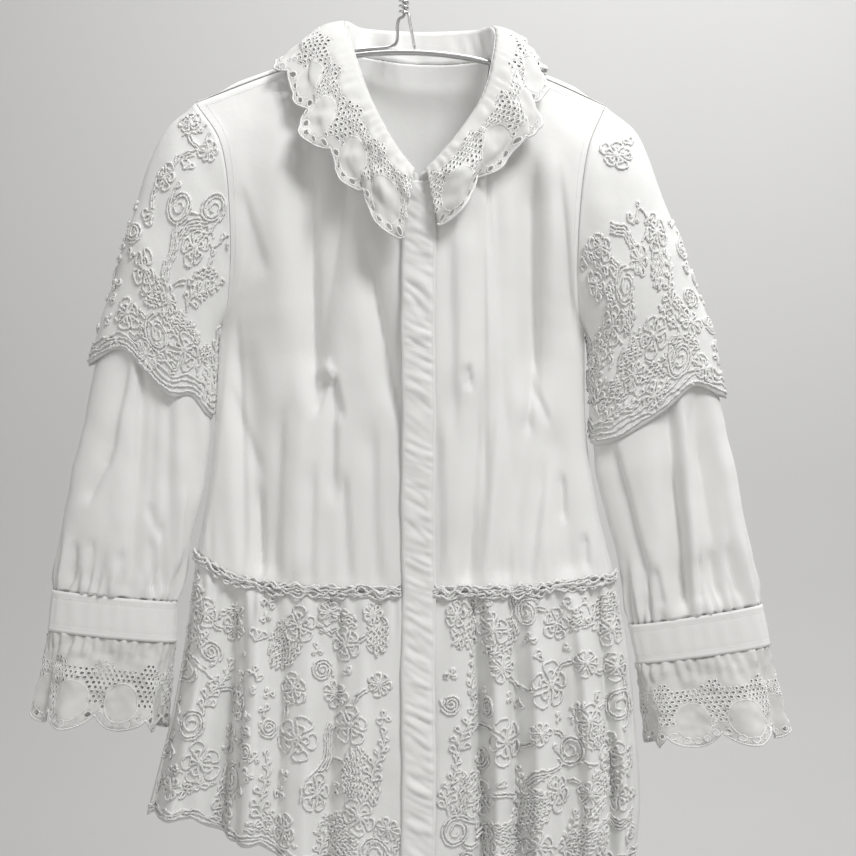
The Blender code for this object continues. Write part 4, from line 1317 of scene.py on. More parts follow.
        def point(u: float, v: float) -> Vector:
            """A point with its folds, creases and turn."""
            near = 2 * min(u, 1 - u)
            place = base(u, v)
            plain = place.copy()
            fade = ease(near / 0.2) * ease((1 - v) / 0.15) * ease(v / 0.04)
            place.y -= fold_depth(plain, self.folds["back"]) * fade
            place.y += self.back_roundness * self.roundness(near, v)
            close = ease(near / 0.06) * ease((0.93 - v) / 0.06) * ease(v / 0.03)
            fine = self.crease_gain * fold_depth(plain, self.creases["back"], self.crease_lean)
            fine += worn(plain, self.back_wear)
            place.y -= fine * close
            ridge = ease((corner - near) / 0.06 + 0.65) * ease(near / 0.15)
            turn = min(1.0, (1 - v) / self.ridge_span)
            settle = ridge * (1 - ease((1 - v - self.ridge_span) / (7 * self.ridge_span)))
            place.y += self.ridge_reach * turn * settle
            place.z += (turn * self.ridge_span * self.shoulder_height
                        + self.ridge_rise * math.sin(math.pi * turn)) * settle
            place.y += self.gap(near, v)
            return place
        return point

    def build(self, wardrobe: Wardrobe) -> None:
        """Make the fronts and the back with their seams."""
        thread = thread_rope()
        for side in Side:
            panel = Panel("front_cloth_" + side.value, self.front(side),
                          dense_start(self.front_columns), even(self.front_rows),
                          Vector((0, -1, 0)))
            item = dress(panel.build(), wardrobe.cotton, ["front_" + side.value])
            sew(thread, panel, [(0.02, 0.985), (FRONT_CORNER, 0.985)])
            sew(thread, panel, [(0.026, 0.99), (0.026, 0.52)])
            sew(thread, panel, [(FRONT_CORNER, 0.992), (0.99, 0.992)])
        rows = [0.94 * row / 64 for row in range(65)] + [0.94 + 0.06 * row / 12
                                                         for row in range(1, 13)]
        panel = Panel("back_cloth", self.back(), dense_ends(self.back_columns), rows,
                      Vector((0, 1, 0.2)))
        item = dress(panel.build(), wardrobe.cotton, ["back"])
        for start, end in ((0.016, BACK_CORNER), (1 - BACK_CORNER, 0.984)):
            sew(thread, panel, [(start, 0.992), (end, 0.992)])
        for edge in (0.016, 0.984):
            sew(thread, panel, [(edge, 0.54), (edge, 0.93)])
        dress(thread.build("bodice_stitching"), wardrobe.thread)


@dataclass
class Sleeve:
    """One sleeve. Ring rows: station, outer x and z, inner x and z, half-depth."""

    side: Side
    rings: Rows
    cuff_rings: Rows
    frill_rings: Rows
    upper_hem: Rows
    folds: Rows
    creases: Rows
    pleats: Rows
    motifs: tuple
    back_motifs: tuple
    armhole_gap: float = 0.0004
    armhole_blend: float = 0.26
    squareness: float = 0.86
    upper_out: float = 0.0026
    upper_flare: float = 0.0045
    lower_under: float = 0.045
    upper_wear: Rows = ((0.034, 0.0026), (0.014, 0.0009))
    crease_gain: float = 1.8
    pleat_lean: float = 0.45
    gathers: int = 12
    gather_start: float = 0.80
    gather_depth: float = 0.0028
    cuff_lap: float = 0.03

    def ring_point(self, rows: Rows, station: float, angle: float, out: float = 0.0) -> Vector:
        """A point of a flattened ring.

        Args:
            rows: the rings.
            station: which ring.
            angle: angle from the outer edge over the front.
            out: how far it lies outside the ring.

        Returns:
            The point.
        """
        outer_x, outer_z, inner_x, inner_z, depth = along(rows, station)
        middle = Vector(((outer_x + inner_x) / 2, 0.0, (outer_z + inner_z) / 2))
        half = Vector(((outer_x - inner_x) / 2, 0.0, (outer_z - inner_z) / 2))
        cos, sin = math.cos(angle), math.sin(angle)
        across = math.copysign(abs(sin) ** self.squareness, sin)
        return middle + half * (cos * (1 + out / half.length)) - Vector(
            (0, (depth + out) * across, 0))

    def point(self, station: float, angle: float, out: float = 0.0) -> Vector:
        """The sleeve's surface, which turns from the armhole's shape into rings."""
        place = self.ring_point(self.rings, station, angle, out)
        keep = 1 - ease(station / self.armhole_blend)
        start = self.ring_point(self.rings, 0.0, angle)
        return place + (armhole_point(self.side, angle) - start) * keep

    def hem(self, angle: float) -> float:
        """Station of the upper sleeve's scalloped hem, alike on its front and back."""
        degrees = math.degrees(angle)
        return along(self.upper_hem, min(degrees, 360 - degrees))[0]

    def upper(self, u: float, v: float) -> Vector:
        """Surface of the corded upper sleeve."""
        angle = math.tau * (u % 1.0)
        if v == 0.0:
            start = armhole_point(self.side, angle)
            ahead = (self.point(0.05, angle) - start).normalized()
            outward = Vector((self.side.sign, 0, 0))
            return start + (ahead + outward).normalized() * self.armhole_gap
        tip = hump(min(angle, math.tau - angle), 0.5)
        out = self.upper_out * ease(v * 4) + self.upper_flare * tip * v ** 3
        place = self.point(v * self.hem(angle), angle, out)
        uneven = worn(place, self.upper_wear)
        uneven += 0.0011 * math.sin(9 * angle + 2.0 * math.sin(3 * angle)) * ease((0.14 - v) / 0.12)
        return self.point(v * self.hem(angle), angle, out + uneven * ease(v / 0.08))

    def lower(self, u: float, v: float) -> Vector:
        """Surface of the plain lower sleeve."""
        angle = math.tau * (u % 1.0)
        start = self.hem(angle) - self.lower_under
        station = start + (1 - start) * v
        degrees = math.degrees(angle)
        out = 0.0
        for at, top, low, width, depth in self.folds:
            apart = (degrees - at + 180) % 360 - 180
            fade = ease((station - top) / 0.08) * ease((low - station) / 0.08)
            out -= depth * hump(apart, width) * fade
        for at, top, low, width, depth in self.creases:
            apart = (degrees - at + 180) % 360 - 180
            reach = width * (1.5 if apart > 0 else 0.6)
            fade = ease((station - top) / 0.06) * ease((low - station) / 0.05)
            out -= self.crease_gain * depth * hump(apart, reach) * fade
        front = ease(2.5 * math.sin(angle)) * ease((1 - station) / 0.05)
        out -= fold_depth(self.point(station, angle), self.pleats, self.pleat_lean) * front
        rise = (ease((station - self.gather_start) / 0.12)
                * ease((1 - station) / 0.05 + 0.12))
        out += self.gather_depth * rise * math.cos(self.gathers * angle)
        fine = ease((station - 0.89 - 0.05 * noise.noise(Vector((4 * angle, 0, 2)))) / 0.07)
        out += 0.0019 * fine * math.sin(27 * angle + 2.8 * math.sin(5 * angle))
        place = self.point(station, angle, out)
        hidden = ease((v - 0.16) / 0.12)
        out += rumple(place, 0.040, 0.0028) * hidden + rumple(place, 0.015, 0.0009) * hidden
        return self.point(station, angle, out)

    def cuff(self, u: float, v: float) -> Vector:
        """Surface of the cuff band, with its stitched edges."""
        angle = math.tau * (u % 1.0)
        band = 0.0005 * (hump(v - 0.05, 0.05) + hump(v - 0.95, 0.05))
        grooves = -0.0004 * (hump(v - 0.15, 0.03) + hump(v - 0.86, 0.03))
        waves = 0.0004 * math.sin(23 * angle + 2 * math.sin(4 * angle)) * math.sin(math.pi * v)
        station = self.cuff_lap * (2 * v - 1) + v
        place = self.ring_point(self.cuff_rings, station, angle)
        return self.ring_point(self.cuff_rings, station, angle, 0.0006 + band + grooves + waves
                               + rumple(place, 0.03, 0.0012))

    def frill(self, run: float, down: float) -> Vector:
        """Surface of the lace frill from its flat pattern, once round the cuff."""
        half, share = divmod(run / (4 * Lace.pitch), 1.0)
        margin = 0.010
        inner = margin + (1 - 2 * margin) * share
        station = down / Lace.frill_width
        ends = ease(inner / 0.08) * ease((1 - inner) / 0.08)
        phase = math.tau * 2.5 * inner + (0.6 if half % 2 else 2.2)
        angle = math.pi * (share + half % 2)
        out = 0.0080 * station * math.sin(phase) * ends
        out += 0.0016 * station * math.sin(2.3 * phase + 1.0) * ends
        gather = math.sin(34 * angle + 3 * math.sin(4 * angle))
        out += 0.0019 * gather * hump(station - 0.10, 0.14)
        place = Vector((run, down, 7.0 * self.side.sign))
        out += 0.0026 * noise.noise(place * 60) + 0.0012 * noise.noise(place * 150)
        return self.ring_point(self.frill_rings, station, angle, out)

    def build(self, wardrobe: Wardrobe) -> None:
        """Make the sleeve, its cuff, frill, cords and stitches."""
        name = self.side.value
        thread = thread_rope()
        lower = Panel("lower_sleeve_" + name, self.lower, even(150), even(46), tube=True)
        item = dress(lower.build(), wardrobe.cotton, ["sleeve_lower_" + name])
        sew(thread, lower, [(0.0, 0.985), (0.5, 0.985), (0.9999, 0.985)], 0.0018, 0.0028)
        upper = Panel("upper_sleeve_" + name, self.upper, even(104), even(48), tube=True)
        item = dress(upper.build(), wardrobe.voile, ["sleeve_upper_" + name])
        cuff = Panel("cuff_band_" + name, self.cuff, even(110), even(14), tube=True, wall=0.0014)
        band = dress(cuff.build(), wardrobe.cotton, ["cuff_" + name])
        for v in (0.16, 0.86):
            sew(thread, cuff, [(0.0, v), (0.5, v), (0.9999, v)])
        dress(thread.build("sleeve_stitching_" + name), wardrobe.thread)
        work = Embroidery(upper)
        for row in range(4):
            work.border(0.984 - 0.0185 * row, 9 + 2 * row, 0.0022 + 0.0012 * row, phase=row)
        work.place(self.motifs)
        work.place(self.back_motifs, back=True)
        work.fill(300, 0.0068, 0.0, 1.0, 0.42, 0.92, seed=0.31 if name == "left" else 0.77)
        cords = work.build("sleeve_cords_" + name, wardrobe.cord)
        strip = Lace(f"cuff_frill_{name}", 8, Lace.frill_width, self.frill, closed=True)
        strip.build(wardrobe, [f"cuff_lace_{name}_front", f"cuff_lace_{name}_back"],
                    ["cuff_band_" + name])


def right_sleeve() -> Sleeve:
    """The wearer's right sleeve."""
    return Sleeve(
        side=Side.RIGHT,
        rings=((0.0, -0.1965, -0.171, -0.1745, -0.384, 0.034),
               (0.1, -0.231, -0.208, -0.1778, -0.3865, 0.035),
               (0.22, -0.2536, -0.2756, -0.18, -0.3935, 0.034),
               (0.34, -0.2717, -0.3421, -0.1812, -0.4045, 0.031),
               (0.46, -0.2888, -0.4039, -0.1822, -0.4248, 0.029),
               (0.58, -0.303, -0.4704, -0.1848, -0.4856, 0.028),
               (0.72, -0.3164, -0.5322, -0.1915, -0.5464, 0.027),
               (0.86, -0.3259, -0.5891, -0.2061, -0.6034, 0.024),
               (1.0, -0.3325, -0.631, -0.2166, -0.6423, 0.016)),
        cuff_rings=((0.0, -0.3325, -0.632, -0.2166, -0.6433, 0.016),
                    (1.0, -0.3362, -0.6685, -0.2175, -0.68, 0.015)),
        frill_rings=((0.0, -0.3362, -0.6694, -0.2175, -0.6809, 0.015),
                     (0.5, -0.343, -0.707, -0.2235, -0.72, 0.021),
                     (1.0, -0.353, -0.754, -0.231, -0.764, 0.027)),
        upper_hem=((0, 0.49), (28, 0.478), (62, 0.452), (84, 0.48), (112, 0.52), (135, 0.514),
                   (158, 0.54), (180, 0.548)),
        folds=((220, 0.55, 0.92, 15, 0.0048), (275, 0.62, 0.95, 14, 0.0042),
               (325, 0.55, 0.9, 14, 0.004)),
        creases=((205, 0.6, 0.97, 6, 0.002), (242, 0.56, 0.92, 5, -0.0016),
                 (262, 0.66, 0.99, 5, 0.002), (300, 0.6, 0.96, 6, 0.0022)),
        pleats=((-0.244, -0.41, -0.254, -0.6, -0.0055, 0.0058),
                (-0.232, -0.43, -0.238, -0.62, 0.013, 0.0065),
                (-0.2175, -0.44, -0.216, -0.6237, 0.008, 0.0062),
                (-0.2584, -0.414, -0.275, -0.506, 0.0085, 0.0045),
                (-0.275, -0.506, -0.295, -0.545, 0.0065, 0.0036),
                (-0.238, -0.553, -0.2265, -0.58, -0.0045, 0.0036),
                (-0.196, -0.46, -0.19, -0.54, 0.0065, 0.0036),
                (-0.205, -0.54, -0.214, -0.61, 0.006, -0.003),
                (-0.231, -0.585, -0.232, -0.634, 0.004, 0.0034),
                (-0.2225, -0.57, -0.223, -0.63, 0.004, 0.0034),
                (-0.262, -0.595, -0.268, -0.63, 0.0045, 0.003),
                (-0.29, -0.585, -0.296, -0.625, 0.005, 0.0034),
                (-0.308, -0.59, -0.313, -0.62, 0.004, 0.0026)),
        motifs=(
            (FLOWER, -0.198, -0.192, 0.011, 10), (DAISY, -0.182, -0.22, 0.01, 0),
            (SPIRAL, -0.207, -0.271, 0.013, 200), (SPIRAL, -0.177, -0.274, 0.012, 20),
            (FLOWER, -0.221, -0.244, 0.012, 40), (LEAF, -0.233, -0.278, 0.013, 250),
            (FLOWER, -0.194, -0.311, 0.015, 5), (TRAIL, -0.174, -0.304, 0.017, 60),
            (FLOWER, -0.239, -0.331, 0.017, 20), (DAISY, -0.216, -0.359, 0.012, 0),
            (SPRIG, -0.189, -0.352, 0.022, 80), (FLOWER, -0.256, -0.374, 0.014, 50),
            (SPIRAL, -0.228, -0.391, 0.013, 130), (SPRIG, -0.176, -0.392, 0.026, 95),
            (FLOWER, -0.204, -0.406, 0.016, 12), (DAISY, -0.239, -0.413, 0.012, 0),
            (SPRIG, -0.187, -0.438, 0.02, 100), (LEAF, -0.263, -0.402, 0.01, 200),
            (DAISY, -0.178, -0.426, 0.009, 0), (LEAF, -0.2, -0.239, 0.01, 120),
            (BAND, -0.19, -0.222, 0.02, 95), (BAND, -0.181, -0.29, 0.024, 85),
            (CLOUD, -0.188, -0.345, 0.018, 70), (CLOUD, -0.23, -0.352, 0.02, 30),
            (CLOUD, -0.206, -0.385, 0.022, 10), (CLOUD, -0.248, -0.392, 0.018, 40),
            (CLOUD, -0.183, -0.415, 0.02, 80), (CLOUD, -0.222, -0.412, 0.018, 0),
            (CLOUD, -0.192, -0.452, 0.016, 60), (CLOUD, -0.196, -0.196, 0.014, 60),
            (BAND, -0.213, -0.318, 0.018, 120)),
        back_motifs=(
            (FLOWER, -0.205, -0.215, 0.013, 0), (SPIRAL, -0.19, -0.255, 0.012, 60),
            (FLOWER, -0.225, -0.275, 0.015, 25), (SPRIG, -0.198, -0.3, 0.022, 95),
            (FLOWER, -0.243, -0.325, 0.016, 10), (DAISY, -0.213, -0.34, 0.012, 0),
            (SPIRAL, -0.186, -0.35, 0.013, 220), (FLOWER, -0.258, -0.368, 0.014, 35),
            (SPRIG, -0.228, -0.385, 0.024, 85), (FLOWER, -0.2, -0.39, 0.016, 15),
            (DAISY, -0.252, -0.402, 0.011, 0), (FLOWER, -0.19, -0.425, 0.013, 40),
            (TRAIL, -0.215, -0.42, 0.016, 150), (CLOUD, -0.2, -0.27, 0.016, 30),
            (CLOUD, -0.225, -0.352, 0.02, 60), (CLOUD, -0.205, -0.4, 0.022, 10),
            (CLOUD, -0.245, -0.392, 0.018, 140), (BAND, -0.192, -0.325, 0.022, 95),
            (CLOUD, -0.188, -0.44, 0.016, 80)))


def left_sleeve() -> Sleeve:
    """The wearer's left sleeve."""
    return Sleeve(
        side=Side.LEFT,
        rings=((0.0, 0.19, -0.174, 0.171, -0.386, 0.034),
               (0.1, 0.221, -0.205, 0.1745, -0.3885, 0.035),
               (0.22, 0.2451, -0.2661, 0.1768, -0.397, 0.034),
               (0.34, 0.266, -0.3231, 0.1785, -0.4096, 0.031),
               (0.46, 0.285, -0.3896, 0.179, -0.4324, 0.029),
               (0.58, 0.3002, -0.4561, 0.18, -0.4894, 0.028),
               (0.72, 0.3145, -0.5179, 0.1885, -0.5464, 0.027),
               (0.86, 0.3277, -0.5891, 0.2065, -0.611, 0.024),
               (1.0, 0.3382, -0.6452, 0.2147, -0.6642, 0.016)),
        cuff_rings=((0.0, 0.3384, -0.6462, 0.2147, -0.6652, 0.016),
                    (1.0, 0.3455, -0.683, 0.2215, -0.7, 0.015)),
        frill_rings=((0.0, 0.3455, -0.6839, 0.2215, -0.7009, 0.015),
                     (0.5, 0.355, -0.726, 0.2275, -0.738, 0.021),
                     (1.0, 0.366, -0.769, 0.234, -0.779, 0.027)),
        upper_hem=((0, 0.572), (26, 0.56), (56, 0.534), (78, 0.552), (104, 0.574), (130, 0.59),
                   (155, 0.592), (180, 0.58)),
        folds=((215, 0.6, 0.93, 15, 0.0046), (268, 0.64, 0.95, 13, 0.0048),
               (318, 0.6, 0.92, 15, 0.0042)),
        creases=((200, 0.64, 0.97, 6, 0.002), (236, 0.62, 0.92, 5, -0.0016),
                 (254, 0.7, 0.99, 5, 0.0022), (296, 0.64, 0.96, 6, 0.002)),
        pleats=((0.249, -0.45, 0.264, -0.64, 0.011, 0.013),
                (0.256, -0.52, 0.2665, -0.64, 0.0055, 0.0042),
                (0.279, -0.445, 0.301, -0.63, 0.014, 0.0125),
                (0.29, -0.49, 0.315, -0.615, 0.0085, 0.005),
                (0.265, -0.46, 0.274, -0.62, 0.006, -0.003),
                (0.193, -0.4947, 0.2247, -0.6166, 0.0095, 0.0062),
                (0.2797, -0.6, 0.28, -0.64, 0.0045, 0.0046),
                (0.2962, -0.595, 0.3016, -0.64, 0.0045, 0.0048),
                (0.3127, -0.59, 0.318, -0.635, 0.0042, 0.0046),
                (0.2357, -0.61, 0.2448, -0.645, 0.004, 0.0038),
                (0.225, -0.62, 0.229, -0.65, 0.004, 0.003)),
        motifs=(
            (FLOWER, 0.198, -0.226, 0.015, 15), (LEAF, 0.212, -0.213, 0.009, 60),
            (FLOWER, 0.234, -0.296, 0.015, 0), (DAISY, 0.22, -0.324, 0.012, 0),
            (FLOWER, 0.184, -0.309, 0.012, 30), (SPIRAL, 0.207, -0.348, 0.013, 40),
            (FLOWER, 0.181, -0.346, 0.012, 10), (SPRIG, 0.246, -0.345, 0.022, 80),
            (FLOWER, 0.194, -0.383, 0.015, 45), (FLOWER, 0.233, -0.392, 0.017, 25),
            (DAISY, 0.266, -0.38, 0.012, 0), (SPIRAL, 0.259, -0.415, 0.013, 160),
            (FLOWER, 0.28, -0.42, 0.013, 5), (SPRIG, 0.182, -0.433, 0.024, 90),
            (DAISY, 0.212, -0.429, 0.012, 0), (FLOWER, 0.233, -0.445, 0.014, 35),
            (LEAF, 0.275, -0.445, 0.01, 200), (SPRIG, 0.201, -0.463, 0.018, 15),
            (SPIRAL, 0.175, -0.401, 0.01, 250), (LEAF, 0.171, -0.328, 0.009, 100),
            (TRAIL, 0.22, -0.281, 0.014, 140), (CLOUD, 0.18, -0.325, 0.015, 70),
            (CLOUD, 0.2, -0.365, 0.022, 100), (CLOUD, 0.238, -0.325, 0.018, 60),
            (CLOUD, 0.25, -0.368, 0.02, 120), (CLOUD, 0.184, -0.41, 0.022, 80),
            (CLOUD, 0.216, -0.405, 0.022, 20), (CLOUD, 0.258, -0.402, 0.02, 0),
            (CLOUD, 0.192, -0.45, 0.022, 10), (CLOUD, 0.238, -0.432, 0.022, 160),
            (CLOUD, 0.276, -0.432, 0.016, 120), (BAND, 0.205, -0.3, 0.016, 100)),
        back_motifs=(
            (FLOWER, 0.206, -0.23, 0.013, 20), (SPIRAL, 0.19, -0.27, 0.012, 240),
            (FLOWER, 0.228, -0.29, 0.015, 5), (SPRIG, 0.2, -0.318, 0.022, 85),
            (FLOWER, 0.248, -0.335, 0.015, 30), (DAISY, 0.222, -0.355, 0.012, 0),
            (SPIRAL, 0.192, -0.372, 0.013, 20), (FLOWER, 0.262, -0.385, 0.014, 15),
            (SPRIG, 0.238, -0.405, 0.024, 95), (FLOWER, 0.208, -0.412, 0.016, 0),
            (DAISY, 0.27, -0.425, 0.011, 0), (FLOWER, 0.19, -0.445, 0.013, 10),
            (TRAIL, 0.225, -0.45, 0.016, 30), (CLOUD, 0.205, -0.29, 0.016, 140),
            (CLOUD, 0.232, -0.372, 0.02, 120), (CLOUD, 0.205, -0.43, 0.022, 170),
            (CLOUD, 0.255, -0.412, 0.018, 40), (BAND, 0.196, -0.345, 0.022, 85),
            (CLOUD, 0.19, -0.47, 0.014, 80)))


